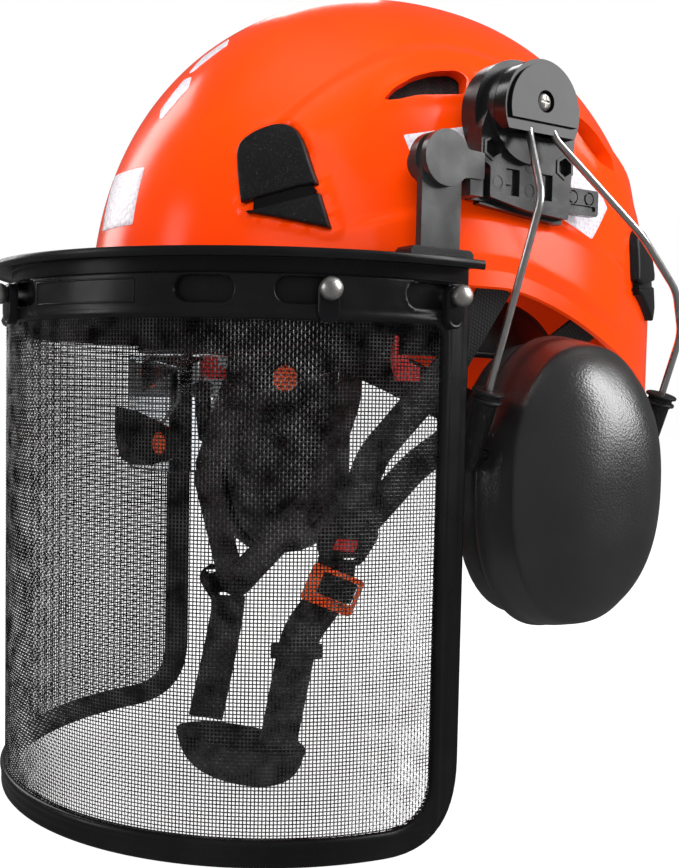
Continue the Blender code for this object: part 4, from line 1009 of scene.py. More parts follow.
def build_carrier(looks, name, side):
    """Round pivot cap with its tongue, and the bar that plugs in behind the bracket."""
    sides = sideways(side)
    tongue = smooth_outline([(-53, 56), (-48, 57.2), (-40.6, 57.2), (-40.6, 67.6), (-48, 67.8), (-53, 70)],
                            1.2, 4)
    bm = solve(drum(PIVOT_Y, PIVOT_Z, HUB_RADIUS, 119.3, 122.3, sides, 72),
               [join(prism(tongue, 119.3, 121.9, sides)),
                join(box((111.0, -46.8, 51.0), (121.0, -40.4, 67.2), side)),
                join(drum(PIVOT_Y, PIVOT_Z, HUB_PIN_RADIUS, 103.0, 120.0, sides, 32))])
    piece(f"pivot_cap_{name}", bm, looks["grey"], "helmet", (f"visor_carrier_{name}",), bevel=0.55)
    steps = [cut(prism(obround(20.0, 53.6, 15.0, 2.2, 8), 114.0, 116.5, sides))]
    for middle in (14.0, 23.4):
        steps.append(cut(drum(middle, 57.6, 2.9, 114.3, 116.5, sides, 28)))
        steps.append(join(drum(middle, 57.6, 2.2, 113.9, 115.2, sides, 28)))
    bar = smooth_outline(rectangle(-42, 29, 50.6, 61.4), 1.6, 4)
    piece(f"carrier_bar_{name}", solve(prism(bar, 111.0, 115.0, sides), steps), looks["bracket"], "helmet",
          bevel=0.3, segments=2)


def build_bracket(looks, name, side):
    """Plate with hexagon pockets, two stepped windows, mould marks and the drum's boss."""
    face, sides = BRACKET_FACE_X, sideways(side)
    plate = smooth_outline([(-34.7, 52), (-14, 48.4), (8, 47), (9, 62), (10.5, 80), (6, 86), (-36, 88),
                            (-39.7, 78), (-39.7, 66), (-34.7, 64)], 1.0, 3)
    lip = smooth_outline([(-36.5, 49.6), (8.6, 45.2), (9.2, 49.0), (-35.6, 53.0)], 0.8, 2)
    steps = [join(drum(ROTOR_Y, ROTOR_Z, BOSS_RADIUS, 105.6, 114.0, sides, 96)),
             join(drum(ROTOR_Y, ROTOR_Z, ROTOR_RADIUS, 112.0, ROTOR_BACK_X - 0.3, sides, 96)),
             join(prism(lip, 110.2, 114.2, sides)),
             cut(box((110.6, -48, 50.3), (115.4, 40, 61.8), side))]
    for hole_y, hole_z in ((-34.0, 71.0), (5.0, 68.0)):
        steps.append(join(drum(hole_y, hole_z, 5.2, 115.0, face + 0.5, sides, 6, 30)))
        steps.append(cut(drum(hole_y, hole_z, 3.9, 115.6, 125.0, sides, 6, 30)))
    for slot_y in (-23.0, -5.0):
        steps.append(cut(box((116.2, slot_y - 3.6, 53.5), (125, slot_y + 3.6, 64.0), side)))
        steps.append(join(box((115.9, slot_y - 3.9, 58.0), (117.4, slot_y + 0.6, 64.3), side)))
    for mark_y, mark_z in ((-31.0, 58.0), (-14.0, 56.5), (-14.0, 66.0)):
        steps.append(cut(drum(mark_y, mark_z, 2.7, face - 0.25, 125.0, sides, 28)))
        steps.append(join(drum(mark_y, mark_z, 2.2, face - 1.0, face - 0.1, sides, 28)))
    steps.append(cut(drum(ROTOR_Y, ROTOR_Z + SCREW_RISE, 3.4, 100, 125, sides, 24)))
    piece(f"bracket_body_{name}", solve(prism(plate, 109.8, face, sides), steps), looks["bracket"], "helmet",
          (f"muff_bracket_{name}",), bevel=0.4, segments=2)


def build_rotor(looks, name, side):
    """Glossy turning cap with a stepped foot, and its screw."""
    body, sides = f"muff_turn_{name}", sideways(side)
    drop, face, screw_z = 9.0, ROTOR_FACE_X, ROTOR_Z + SCREW_RISE
    flat = ROTOR_Z - drop
    first = math.degrees(math.asin(-drop / ROTOR_RADIUS))
    outline = outline_circle(ROTOR_Y, ROTOR_Z, ROTOR_RADIUS, 96, first, 180 - 2 * first)
    ring = outline_circle(ROTOR_Y, ROTOR_Z, ROTOR_RADIUS - 1.9, 96, -40, 260)
    raised = [(a, max(b, flat + 4.2)) for a, b in ring]
    steps = [join(prism(dense(raised, 2.5), face - 3.0, face, sides)),
             cut(box((123.2, -28.5, flat - 5), (128.4, -6.5, 85.2), side)),
             cut(drum(ROTOR_Y, screw_z, 2.0, 115, 140, sides, 24)),
             cut(drum(ROTOR_Y, screw_z, 4.3, face - 2.4, 140, sides))]
    bm = solve(prism(outline, ROTOR_BACK_X, face - 1.5, sides), steps)
    piece(f"rotor_drum_{name}", bm, looks["gloss"], body, (f"rotor_cap_{name}",), bevel=0.75,
          segments=4)
    seat = face - 2.1
    head = [(seat + 0.1 + 2.3 * math.sin(t), 3.6 * math.cos(t)) for t in np.linspace(0, 1.4, 10)]
    cross = [cut(box((seat + 1.1, ROTOR_Y - a / 2, screw_z - b / 2),
                     (seat + 4.0, ROTOR_Y + a / 2, screw_z + b / 2), side))
             for a, b in ((4.4, 0.95), (0.95, 4.4))]
    bm = solve(lathe([(108.0, 1.6), (seat, 1.6)] + head, (0, ROTOR_Y, screw_z), (side, 0, 0), 36), cross)
    piece(f"rotor_screw_head_{name}", bm, looks["steel"], body, (f"rotor_screw_{name}",), angle=40,
          bevel=0.08, segments=2)


# ---------------------------------------------------------------- ear muffs
def mirrored(point, side):
    return Vector((side * point.x, point.y, point.z))


def fork_route():
    inside_sleeve = WIRE_SLOPE * 20.0
    return [WIRE_FRONT_END + inside_sleeve, WIRE_FRONT_END - WIRE_SLOPE * 76.0,
            Vector((127.6, -23.0, 76.0)), Vector((FORK_HINGE_X, -22.5, FORK_HINGE_Z)),
            Vector((FORK_HINGE_X, -10.5, FORK_HINGE_Z)), Vector((127.8, -10.0, 76.5)),
            Vector((146.5, 22.0, 38.8)), Vector((142.0, 48.5, 19.0)),
            WIRE_REAR_END - WIRE_SLOPE * 27.0, WIRE_REAR_END + inside_sleeve]


def sleeve_pin(side, front):
    return mirrored((WIRE_FRONT_END if front else WIRE_REAR_END) + WIRE_SLOPE * 27.0, side)


def build_sleeve(looks, name, side, front):
    """Ribbed sleeve on one end of the fork, with the pin that holds the cup."""
    top = mirrored(WIRE_FRONT_END if front else WIRE_REAR_END, side)
    slope = mirrored(WIRE_SLOPE, side)
    profile = [(0.0, 5.9), (0.3, 6.5), (0.8, 6.7), (1.4, 6.5), (1.7, 5.4), (2.4, 5.1), (3.1, 5.3), (3.4, 6.3),
               (4.0, 6.6), (4.7, 6.4), (5.1, 5.3), (5.8, 4.8), (32.0, 4.0), (33.0, 3.2)]
    pin = sleeve_pin(side, front)
    inward = Vector((0, 1 if front else -1, 0))
    bm = solve(lathe(profile, top, slope, 40),
               [join(rod(pin, pin + inward * 10.5, 2.0, 20)),
                cut(rod(top - slope * 5, top + slope * 31, WIRE_RADIUS + 0.45, 20))])
    where = "front" if front else "rear"
    piece(f"sleeve_{where}_body_{name}", bm, looks["clip"], f"muff_sleeves_{name}",
          (f"sleeve_{where}_{name}",), angle=40)


def swell(angle, power):
    """Reach of a squared-off oval at an angle; a higher power makes it squarer."""
    return (abs(math.cos(angle)) ** power + abs(math.sin(angle)) ** power) ** (-1 / power)


def cup_ring(reach, x, side, steps=CUP_STEPS):
    """Oval ring of the cup at depth x."""
    ring = []
    for i in range(steps):
        a = 2 * math.pi * i / steps
        size = swell(a, CUP_POWER)
        ring.append(Vector((side * x, CUP_Y + reach[0] * size * math.cos(a),
                            CUP_Z + reach[1] * size * math.sin(a))))
    return ring


def dome_rings(inset_by, side, rows, crease=0.0):
    """Rings of the cup's dome, from its rim to its crown."""
    width, height = CUP_HALF_WIDTH - inset_by, CUP_HALF_HEIGHT - inset_by
    depth = CUP_DOME_X - CUP_RIM_X - inset_by
    rings = []
    for i in range(rows + 1):
        a = math.pi / 2 * i / rows * 0.985
        share = math.cos(a) ** 0.72
        ridge = crease * float(bulge(a, 0.44, 0.09))
        rings.append(cup_ring((width * share + ridge, height * share + ridge),
                              CUP_RIM_X + depth * math.sin(a) ** 0.86 + ridge * 0.5, side))
    return rings


def build_cup(looks, name, side):
    """Hollow cup with a rolled lip and two pin holes, and the foam inside it."""
    body = f"muff_cup_{name}"
    lip = [cup_ring((CUP_HALF_WIDTH + d, CUP_HALF_HEIGHT + d), CUP_RIM_X + x, side)
           for x, d in ((0.0, -0.6), (0.25, 0.3), (1.4, 0.9), (2.6, 0.7), (3.2, 0.0))]
    bm = loft(dome_rings(CUP_WALL, side, 14)[::-1] + lip + dome_rings(0.0, side, 56, 0.7)[6:])
    holes = []
    for front in (True, False):
        pin = sleeve_pin(side, front)
        inward = Vector((0, 1 if front else -1, 0))
        holes.append(cut(rod(pin - inward * 2, pin + inward * 17, 2.5, 24)))
    piece(f"cup_dome_{name}", solve(bm, holes), looks["cup"], body, (f"ear_cup_{name}",), angle=50)
    foam = loft([cup_ring((CUP_HALF_WIDTH - 8 - d, CUP_HALF_HEIGHT - 8 - d), x, side, 72)
                 for x, d in ((115.0, 3.0), (115.6, 0.6), (117.0, 0.0), (121.5, 0.0), (123.0, 1.5))])
    pad = piece(f"foam_pad_{name}", foam, looks["foam"], body, (f"ear_foam_{name}",), angle=70)


def ring_cushion(looks, name, side):
    """Ear cushion: a soft ring, puffed by cloth pressure and flat where it meets the cup."""
    width, height = CUP_HALF_WIDTH - 1.0, CUP_HALF_HEIGHT - 1.0
    rim = CUP_RIM_X - 0.3
    middle_x, half_depth = (rim + CUSHION_INNER_X) / 2, (rim - CUSHION_INNER_X) / 2
    rings = []
    for i in range(24):
        t = 2 * math.pi * i / 24
        size = swell(t, 2.8)
        out = -9.0 + 8.4 * size * math.cos(t)
        rings.append(cup_ring((width + out, height + out),
                              middle_x + (half_depth - 0.8) * size * math.sin(t), side, 72))
    thing = soft(f"ear_cushion_pad_{name}", loft(rings, closed=True), looks["cushion"], 2.2, 3.0)
    limit_x = CUP_RIM_X - 0.35
    for vert in thing.data.vertices:
        reach = side * vert.co.x / MM
        vert.co.x = side * min(max(reach, CUSHION_INNER_X - 1.0), limit_x) * MM
    declare_soft(thing, f"muff_cup_{name}", f"ear_cushion_{name}")


def soft(name, bm, look, cap_mm, voxel_mm):
    """Voxel remesh, puff with cloth pressure, cap the movement, apply, and subdivide once."""
    thing = to_object(name, bm)
    bpy.context.collection.objects.link(thing)
    remesh = thing.modifiers.new("remesh", "REMESH")
    remesh.mode = "VOXEL"
    remesh.voxel_size = voxel_mm * MM
    settle(thing)
    before = np.array([v.co for v in thing.data.vertices])
    cloth = thing.modifiers.new("cloth", "CLOTH")
    cloth.settings.use_pressure = True
    cloth.settings.uniform_pressure_force = CLOTH_PRESSURE
    cloth.settings.effector_weights.gravity = 0
    cloth.settings.quality = 4
    cloth.point_cache.frame_start, cloth.point_cache.frame_end = 1, CLOTH_FRAMES
    for step in range(1, CLOTH_FRAMES + 1):
        bpy.context.scene.frame_set(step)
    settle(thing)
    bpy.context.scene.frame_set(1)
    move = np.array([v.co for v in thing.data.vertices]) - before
    size = np.linalg.norm(move, axis=1)[:, None]
    move *= np.minimum(1.0, cap_mm * MM / np.maximum(size, 1e-9))
    thing.data.vertices.foreach_set("co", (before + move).ravel())
    smooth = thing.modifiers.new("smooth", "SMOOTH")
    smooth.factor, smooth.iterations = 0.5, 4
    finer = thing.modifiers.new("finer", "SUBSURF")
    finer.levels = finer.render_levels = 1
    settle(thing)
    thing.data.shade_smooth()
    thing.data.materials.clear()
    thing.data.materials.append(look.made)
    return thing


def declare_soft(thing, body, node):
    """Attach a soft piece to its body and hide its CAD part."""
    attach(thing, body)
    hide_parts(node)


def settle(thing):
    """Apply every modifier."""
    shape = thing.evaluated_get(bpy.context.evaluated_depsgraph_get())
    mesh = bpy.data.meshes.new_from_object(shape)
    thing.modifiers.clear()
    old = thing.data
    thing.data = mesh
    bpy.data.meshes.remove(old)


def build_muffs(looks):
    """Everything on each side that hangs from a bracket, with the visor's own pivot."""
    for name, side in SIDES:
        for build in (build_bracket, build_carrier, build_arm, build_rotor):
            build(looks, name, side)
        path = rounded_path([mirrored(p, side) for p in fork_route()], 5.0, 8)
        piece(f"fork_wire_{name}", tube(path, WIRE_RADIUS, 20), looks["chrome"], f"muff_fork_{name}",
              (f"wire_fork_{name}",), angle=60)
        for front in (True, False):
            build_sleeve(looks, name, side, front)
        build_cup(looks, name, side)
        ring_cushion(looks, name, side)


# ---------------------------------------------------------------- headband and cradle
def band_point(angle, height, out=0.0):
    """Place on the headband's oval, a distance outside it."""
    return Vector(((BAND_HALF_WIDTH + out) * math.sin(angle),
                   BAND_CENTER_Y - (BAND_HALF_LENGTH + out) * math.cos(angle), height))


def band_height(angle):
    """Middle height of the headband: level in front, lower behind the ears."""
    part = max(abs(angle) - math.radians(95), 0.0) / math.radians(85)
    return 3.0 - 46.0 * math.sin(min(part, 1.0) * math.pi / 2) ** 2


def band_ring(angle, low, high, inner, outer, soft_edge=0.4):
    """Rounded section of a strip on the headband's curve."""
    corners = smooth_outline(rectangle(inner, outer, low, high), soft_edge, 3)
    return [band_point(angle, band_height(angle) + z, r) for r, z in corners]


def build_headband(looks):
    """Band with two beads, a brow pad, a nape pad and two red lozenges."""
    steps = 160

    def hoop(low, high, inner, outer):
        return loft([band_ring(-math.pi + 2 * math.pi * i / steps, low, high, inner, outer)
                     for i in range(steps)], closed=True)

    piece("headband_strip", hoop(-13, 13, 0, 1.8), looks["satin"], "helmet", ("headband",), angle=50)
    for place, edge in (("low", -11.4), ("high", 11.4)):
        piece(f"headband_bead_{place}", hoop(edge - 0.9, edge + 0.9, 1.6, 2.3), looks["satin"], "helmet",
              angle=50)
    for name, low, high, half in (("sweat_pad", -78, 78, 10.5), ("nape_pad", 152, 208, 13.5)):
        count = 40
        rings = []
        for i in range(count + 1):
            angle = math.radians(low + (high - low) * i / count)
            taper = 1 - 0.5 * max(abs(2 * i / count - 1) - 0.9, 0) / 0.1
            rings.append(band_ring(angle, -half * taper, half * taper, -3.7, -0.9, 1.2))
        thing = soft(f"{name}_cloth", loft(rings), looks["pad"], 1.0, 2.2)
        keep_outside(thing)
        declare_soft(thing, "helmet", name)
    lozenge = smooth_outline([(-11, 0), (-4, 3.6), (9, 3.0), (12, 0), (7, -3.2), (-6, -3.4)], 1.4, 4)
    for number, degrees in enumerate((24.0, 8.0)):
        angle = math.radians(degrees)

        def mapping(u, v, lift):
            return np.array([tuple(band_point(angle + a / BAND_HALF_LENGTH, 15.0 + b, 2.2 + c))
                             for a, b, c in zip(u, v, lift)])

        bm = slab(lozenge, [], [(0, 0.4), (0.4, 0.8), (0.9, 1.0)], mapping, -0.2, 1.5)
        piece(f"band_lug_{number}", bm, looks["red"], "helmet", angle=50)


def keep_outside(thing):
    """Hold a pad's outer face just inside the headband."""
    for vert in thing.data.vertices:
        x, y = vert.co.x / MM, vert.co.y / MM - BAND_CENTER_Y
        size = math.hypot(x / (BAND_HALF_WIDTH - 0.35), y / (BAND_HALF_LENGTH - 0.35))
        if size > 1:
            vert.co.x = x / size * MM
            vert.co.y = (y / size + BAND_CENTER_Y) * MM


def strap(path, width, thick, facing, spacing=1.6):
    """Webbing with rounded selvedges; UVs run along it in metres."""
    path = resample(path, spacing)
    half, low = width / 2, thick / 2
    lower = [(-half, 0), (-half + 0.35, -low), (-half + 1.2, -low * 1.05), (0, -low * 0.86),
             (half - 1.2, -low * 1.05), (half - 0.35, -low)]
    section = lower + [(-a, -b) for a, b in lower]
    rings, walked = [], [0.0]
    for i, point in enumerate(path):
        along = (path[min(i + 1, len(path) - 1)] - path[max(i - 1, 0)]).normalized()
        out = Vector(facing(point) if callable(facing) else facing)
        out = (out - out.dot(along) * along).normalized()
        across = along.cross(out)
        rings.append([point + a * across + b * out for a, b in section])
        if i:
            walked.append(walked[-1] + (point - path[i - 1]).length)
    bm = loft(rings)
    bm.verts.index_update()
    uv = bm.loops.layers.uv.new("UVMap")
    for face in bm.faces:
        for loop in face.loops:
            row, column = divmod(loop.vert.index, len(section))
            loop[uv].uv = (walked[min(row, len(walked) - 1)] * MM, section[column][0] * MM)
    return bm


def cradle_route(angle, lift):
    """Arch over the head, from one foot inside the shell to the opposite one."""
    feet = [Vector(shell_points(np.array([a]), np.array([CRADLE_FOOT_Z]), -SHELL_WALL - 3.5)[0])
            for a in (angle, angle + math.pi)]
    points = []
    for i in range(49):
        a = math.pi * i / 48
        reach = (feet[0] if math.cos(a) > 0 else feet[1]) * abs(math.cos(a))
        points.append(Vector((reach.x, reach.y, CRADLE_FOOT_Z + (CRADLE_RISE + lift) * math.sin(a))))
    return points


def build_cradle(looks):
    """Three crossing webbing bands with a round patch where they meet."""
    for number, (degrees, lift) in enumerate(((70, 0.0), (110, 1.7), (0, 3.4)), start=1):
        bm = strap(cradle_route(math.radians(degrees), lift), WEBBING_WIDTH, WEBBING_THICK,
                   lambda p: (p.x, p.y, (p.z - 20.0) * 1.6 + 0.01))
        piece(f"crown_band_{number}", bm, looks["webbing"], "helmet",
              ("crown_webbing",) if number == 1 else (), angle=50)
    patch = lathe([(0, 14.0), (0.6, 14.6), (1.2, 14.0)], (0, -2, 109.6), (0, 0, 1), 40)
    piece("crown_patch", patch, looks["pad"], "helmet", angle=40)


def build_ratchet(looks):
    """Housing behind the nape and the fluted knob that turns in it."""
    middle = band_height(math.pi)
    back = BAND_CENTER_Y + BAND_HALF_LENGTH + 2.1
    rearward = lambda a, b, depth: Vector((a, depth, b))
    case = [(-34, -9), (-18, -15), (18, -15), (34, -9), (34, 9), (18, 15), (-18, 15), (-34, 9)]
    outline = smooth_outline([(a, middle + b) for a, b in case], 3.0, 5)
    steps = [cut(drum(0, middle, 3.4, back - 5, back + 12, rearward, 24))]
    for reach in (-27, 27):
        steps.append(cut(prism(obround(reach, middle, 9, 2.6, 8), back + 6.8, back + 12, rearward)))
    piece("ratchet_case", solve(prism(outline, back, back + 8.0, rearward), steps), looks["bracket"],
          "helmet", ("ratchet_housing",), bevel=1.0, segments=4)
    flutes = []
    for i in range(240):
        t = 2 * math.pi * i / 240
        radius = 16.9 + 0.75 * math.cos(24 * t)
        flutes.append((radius * math.cos(t), middle + radius * math.sin(t)))
    steps = [join(drum(0, middle, 3.0, back + 1.0, back + 10.0, rearward, 24)),
             cut(drum(0, middle, 12.2, back + 16.9, back + 20.0, rearward, 64))]
    piece("ratchet_wheel", solve(prism(flutes, back + 8.3, back + 18.0, rearward), steps), looks["gloss"],
          "size_knob", ("ratchet_knob",), bevel=0.5, segments=3)


# ---------------------------------------------------------------- eye shield
def on_lens(u, v, lift):
    """Mapping from flat millimetres and a lift to places on the bent lens."""
    angle = u / LENS_HALF_LENGTH
    return np.stack([(LENS_HALF_WIDTH + lift) * np.sin(angle),
                     BAND_CENTER_Y - (LENS_HALF_LENGTH + lift) * np.cos(angle), v + 0 * u], axis=-1)


def disc(center_u, center_v, radius, rise, mapping, low):
    """Slightly domed round button."""
    dome = lambda u, v: -0.25 * (np.hypot(u - center_u, v - center_v) / radius) ** 2
    return slab(outline_circle(center_u, center_v, radius, 40), [],
                [(0, rise - 0.5), (0.3, rise - 0.12), (0.8, rise)], mapping, low, 1.2, dome)


def build_eye_shield(looks):
    """Bent lens, its side arms and grip, silver discs and the red lugs it swings on."""
    reach = math.radians(58) * LENS_HALF_LENGTH
    span = np.linspace(-1, 1, 81)
    low = [(s * reach, -62.0 + 29.0 * abs(s) ** 3.5) for s in span]
    high = [(s * reach, -11.5 - 4.0 * s ** 4) for s in span[::-1]]
    bm = slab(low + high, [], [(0, 1.2), (0.35, 1.65), (0.8, 1.8)], on_lens, 0.0, 3.0)
    piece("lens_sheet", bm, looks["lens"], "eye_shield", ("eye_lens",), angle=50)
    far = math.asin(64.0 / LENS_HALF_WIDTH) * LENS_HALF_LENGTH
    near = 18.0 / LENS_HALF_WIDTH * LENS_HALF_LENGTH
    for name, side in SIDES:
        refined(f"eye_shield_arm_{name}", looks["gloss"], "eye_shield", 0.8, 3)
        flip = lambda u, v, lift: on_lens(u, v, lift) * np.array((side, 1, 1))
        for part, center, height, radius in (("shield", far, -21.0, 5.3), ("tab", near, -49.5, 4.9)):
            piece(f"{part}_disc_{name}", disc(center, height, radius, 5.0, flip, 3.9), looks["disc"],
                  "eye_shield")
    refined("eye_shield_tab", looks["gloss"], "eye_shield", 1.2, 4)
    lug = smooth_outline([(-54.5, -21), (-43, -21), (-43, -15), (-49, -13), (-49.5, -0.5),
                          (-56.5, -0.5), (-57.5, -12)], 1.2, 4)
    for name, side in SIDES:
        piece(f"pivot_lug_{name}", prism(lug, 85.0, 87.4, sideways(side)), looks["red"], "helmet",
              bevel=0.4)


# ---------------------------------------------------------------- chin strap
def plate_mapping(center, across, up, out):
    """Mapping from a flat drawing to a tilted plate at center."""
    def mapping(a, b, depth):
        return center + across * float(a) + up * float(b) + out * float(depth)
    return mapping


def build_chin_strap(looks):
    """Front and rear straps of each side, their divider, and the strap to the chin cup."""
    runs = {"left": ([(102, -15, 20), (91, -30, -14), (66, -51, -53)],
                     [(68, -30, -58), (81, 3, -32), (86.4, 36, -4), (98.6, 48, 10)]),
            "right": ([(-102, -15, 20), (-92, -30, -14), (-80, -57, -72)],
                      [(-79, 12, -88), (-85, 38, -30), (-98.6, 48, 9)])}
    outline = smooth_outline([(-14, 8), (-9, 14), (12, 16), (16, 10), (10, -5), (-8, -6)], 4.0, 6)
    slots = [obround(-2.0, 11.0, 15.0, 2.6, 8), obround(1.5, -1.6, 13.0, 2.6, 8)]
    mark = smooth_outline([(-6, 3), (5, 2.4), (6, 8.0), (-5, 8.6)], 1.4, 4)
    for name, side in SIDES:
        divider = DIVIDERS[name]
        front, rear = (list(map(Vector, run)) for run in runs[name])
        facing = (front[-1] - divider).cross(rear[0] - divider).normalized()
        facing = facing if facing.x * side > 0 else -facing
        lift = Vector((0, 1.5, 3)) + facing
        route = front + [divider + lift, divider + lift + Vector((0, 3, 0))] + rear
        bm = strap(rounded_path(route, 6.0, 6), HARNESS_WIDTH, WEBBING_THICK, facing)
        piece(f"harness_webbing_{name}", bm, looks["webbing"], "helmet", (f"chin_webbing_{name}",),
              angle=50)
        across = (Vector((0, 1, 0)) - facing * facing.y).normalized()
        up = across.cross(facing)
        mapping = plate_mapping(divider + facing * 4.4, across, up if up.z > 0 else -up, facing)
        many = lambda u, v, lift: np.array([tuple(mapping(*p)) for p in zip(u, v, lift)])
        bm = slab(outline, slots, [(0, 2.2), (0.5, 2.9), (1.1, 3.2)], many, 0.0, 2.0, None,
                  [(0, 2.7), (0.5, 3.2)])
        piece(f"divider_plate_{name}", bm, looks["bracket"], "helmet", (f"strap_divider_{name}",),
              angle=50)
        bm = slab(mark, [], [(0, 3.5), (0.4, 3.9)], many, 3.0, 2.0)
        piece(f"divider_mark_{name}", bm, looks["red"], "helmet", angle=50)
    routes = {"left": [(49.6, -57.4, -99.5), (47.5, -57.5, -113.0), (39.4, -69.9, -134.0),
                       (27.0, -73.0, -187.6)],
              "right": [(-48.6, -58.6, -132.0), (-47.6, -60.0, -141.0), (-41.5, -67.0, -158.0),
                        (-30.0, -80.5, -187.6)]}
    for name, side in SIDES:
        facing = Vector((0.8, -0.6, 0)) * side
        bm = strap(rounded_path(routes[name], 8.0, 8), CHIN_WIDTH, WEBBING_THICK, facing)
        piece(f"lower_webbing_{name}", bm, looks["webbing"], "helmet", (f"chin_strap_{name}",),
              angle=50)
    build_buckle(looks)
    build_keeper(looks)
    build_chin_cup(looks)


def build_buckle(looks):
    """Framed buckle on the left strap with its ribbed press latch."""
    out = Vector((0.8, -0.6, 0.2)).normalized()
    up = Vector((0.24, 0.22, 0.94))
    up = (up - up.dot(out) * out).normalized()
    mapping = plate_mapping(Vector((50.0, -59.6, -113.0)), up.cross(out), up, out)
    outline = smooth_outline([(-12, -8.6), (11.5, -8.6), (12.2, 8.2), (-11.4, 8.6)], 2.2, 5)
    steps = [cut(prism(smooth_outline(rectangle(-6, 10, -3.8, 6), 0.8, 3), -3.0, 9.0, mapping))]
    for line in (-6.4, -5.2):
        steps.append(cut(prism(rectangle(-9, 9, line - 0.25, line + 0.25), 5.6, 9.0, mapping)))
    piece("buckle_body", solve(prism(outline, 0.0, 6.0, mapping), steps), looks["buckle"], "helmet",
          ("buckle_frame",), bevel=0.7, segments=3)
    latch = smooth_outline(rectangle(-5.6, 9.6, -3.4, 5.6), 0.8, 3)
    ribs = [join(prism(rectangle(a - 0.45, a + 0.45, -2.4, 4.6), 4.6, 5.5, mapping))
            for a in (-3.4, -1.2, 1.0, 3.2, 5.4, 7.6)]
    piece("buckle_press", solve(prism(latch, 1.0, 5.0, mapping), ribs), looks["bracket"], "buckle_catch",
          ("buckle_latch",), bevel=0.25, segments=2)


def build_keeper(looks):
    """Grooved rubber loop that holds the strap's free end."""
    center = Vector((37.8, -70.3, -141.5))
    out, across = Vector((0.8, -0.6, 0)).normalized(), Vector((0.6, 0.8, 0)).normalized()

    def mapping(a, b, depth):
        return center + a * across + depth * Vector((0, 0, 1)) + b * out

    outer = smooth_outline(rectangle(-11.4, 11.4, -3.8, 3.8), 1.6, 5)
    steps = [cut(prism(rectangle(-9.6, 9.6, -2.3, 2.3), -8, 8, mapping))]
    for height in (-1.5, 0, 1.5):
        steps.append(cut(prism(rectangle(-10.5, 10.5, 3.5, 4.2), height - 0.25, height + 0.25, mapping)))
    piece("keeper_loop", solve(prism(outer, -2.7, 2.7, mapping), steps), looks["rubber"], "keeper",
          ("strap_keeper",), bevel=0.4, segments=2)


def build_chin_cup(looks):
    """Open rubber bowl with a rolled rim, turned toward the buckle."""
    turn = Matrix.Rotation(math.radians(22), 3, "Z")
    rings, rows = [], 20

    def ring(wide, deep, height):
        return [turn @ Vector((wide * math.sin(a), -deep * math.cos(a), 0)) + Vector((0, -78.0, height))
                for a in (2 * math.pi * k / 80 for k in range(80))]

    for outside, inset_by in ((True, 0.0), (False, 2.6)):
        for i in range(rows + 1):
            part = (1 - i / rows if outside else i / rows) * math.pi / 2 * 0.97
            share = math.cos(part) ** 0.6
            grow = 0.8 * float(bulge(part, 0.06, 0.07)) if outside else 0.0
            rings.append(ring((36.0 - inset_by) * share + grow, (17.0 - inset_by) * share + grow,
                              -190.0 - (20.0 - inset_by) * math.sin(part)))
    piece("chin_bowl", loft(rings), looks["rubber"], "helmet", ("chin_cup",), angle=50)


# ---------------------------------------------------------------- studio
def aim(thing, target):
    """Turn a light toward a place."""
    way = Vector(target) - thing.location
    thing.rotation_euler = way.to_track_quat("-Z", "Y").to_euler()


def softbox(name, location, target, width, height, watts, glossy=True):
    """Soft area light; one with glossy off lights surfaces without a reflection of its own."""
    light = bpy.data.lights.new(name, "AREA")
    light.shape, light.size, light.size_y = "RECTANGLE", width, height
    light.energy = watts
    thing = bpy.data.objects.new(name, light)
    thing.location = location
    thing.visible_glossy = glossy
    bpy.context.collection.objects.link(thing)
    aim(thing, target)


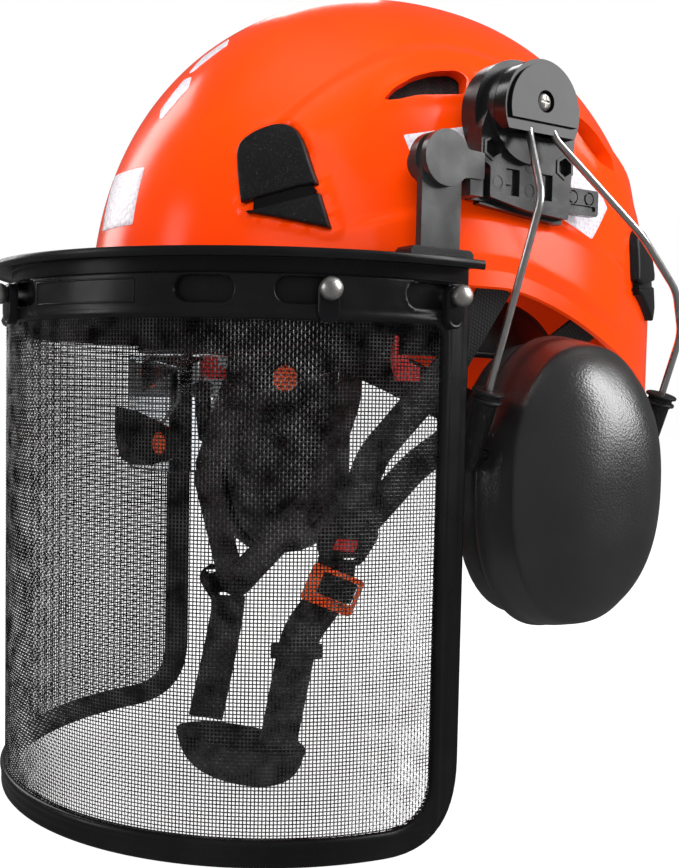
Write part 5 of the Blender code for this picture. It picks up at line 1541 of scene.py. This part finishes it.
def build_studio():
    """Camera, white floor, dim world and the soft lights."""
    camera = bpy.data.objects.new("camera", bpy.data.cameras.new("camera"))
    right, up = Vector((0.55157, 0.83387, 0.02071)), Vector((-0.06046, 0.01520, 0.99805))
    back = right.cross(up)
    turn = Matrix((right, up, back)).transposed().to_4x4()
    camera.matrix_world = Matrix.Translation(Vector((461.51, -330.54, -24.36)) * MM) @ turn
    camera.data.sensor_fit = "VERTICAL"
    camera.data.sensor_height = 36.0
    camera.data.lens = CAMERA_LENS
    camera.data.shift_y = CAMERA_RISE
    camera.data.clip_start = 0.01
    bpy.context.collection.objects.link(camera)
    bpy.context.scene.camera = camera

    bm = bmesh.new()
    bmesh.ops.create_grid(bm, x_segments=8, y_segments=8, size=15.0)
    bmesh.ops.translate(bm, vec=(0, 0, FLOOR_Z * MM), verts=bm.verts)
    mesh = bpy.data.meshes.new("floor")
    bm.to_mesh(mesh)
    bm.free()
    floor = bpy.data.objects.new("floor", mesh)
    bpy.context.collection.objects.link(floor)
    paper = Look("floor_paper", (0.3, 0.3, 0.3), 0.85, specular=0.1)
    paper.tint(paper.noise(400.0, 3.0), (0.28, 0.28, 0.28))
    paper.set("Emission Color", (1.0, 1.0, 1.0, 1.0))
    paper.set("Emission Strength", 0.95)
    mesh.materials.append(paper.made)
    floor.visible_glossy = False

    world = bpy.data.worlds.new("studio")
    bpy.context.scene.world = world
    world.use_nodes = True
    nodes, links = world.node_tree.nodes, world.node_tree.links
    plain = nodes["Background"]
    seen = nodes.new("ShaderNodeBackground")
    for background, strength in ((plain, 0.12), (seen, 1.0)):
        background.inputs["Color"].default_value = (1.0, 1.0, 1.0, 1.0)
        background.inputs["Strength"].default_value = strength
    rays = nodes.new("ShaderNodeLightPath")
    mix = nodes.new("ShaderNodeMixShader")
    links.new(rays.outputs["Is Camera Ray"], mix.inputs[0])
    links.new(plain.outputs[0], mix.inputs[1])
    links.new(seen.outputs[0], mix.inputs[2])
    links.new(mix.outputs[0], nodes["World Output"].inputs["Surface"])

    softbox("right", (0.92, 0.76, 0.72), (0.08, 0, 0.0), 0.66, 1.15, 15.0)
    softbox("left", (-1.1, -0.5, 0.62), (0, -0.05, 0), 0.4, 0.9, 5.0)
    softbox("rim", (-0.95, 0.5, 0.85), (0, 0, 0.1), 0.3, 0.3, 1.2)
    softbox("front", (-0.35, -1.4, 0.3), (0, -0.1, 0), 0.3, 0.7, 2.0)
    softbox("top", (0.1, -0.3, 1.35), (0, 0, 0), 0.9, 0.9, 9.0, False)
    softbox("fill", (1.0, -0.8, 0.6), (0, 0, 0), 1.0, 1.0, 13.0, False)
    softbox("floor_wash", (0.0, 0.0, 2.6), (0, 0, -0.2), 2.5, 2.5, 8.0, False)
    bpy.context.scene.view_settings.view_transform = "Standard"


def main():
    looks = make_looks()
    build_studio()
    for build in (build_shell, build_tapes, build_clips, build_visor_frame, build_screen, build_brow_guard,
                  build_fasteners, build_muffs, build_headband, build_cradle, build_ratchet, build_eye_shield,
                  build_chin_strap):
        build(looks)


main()
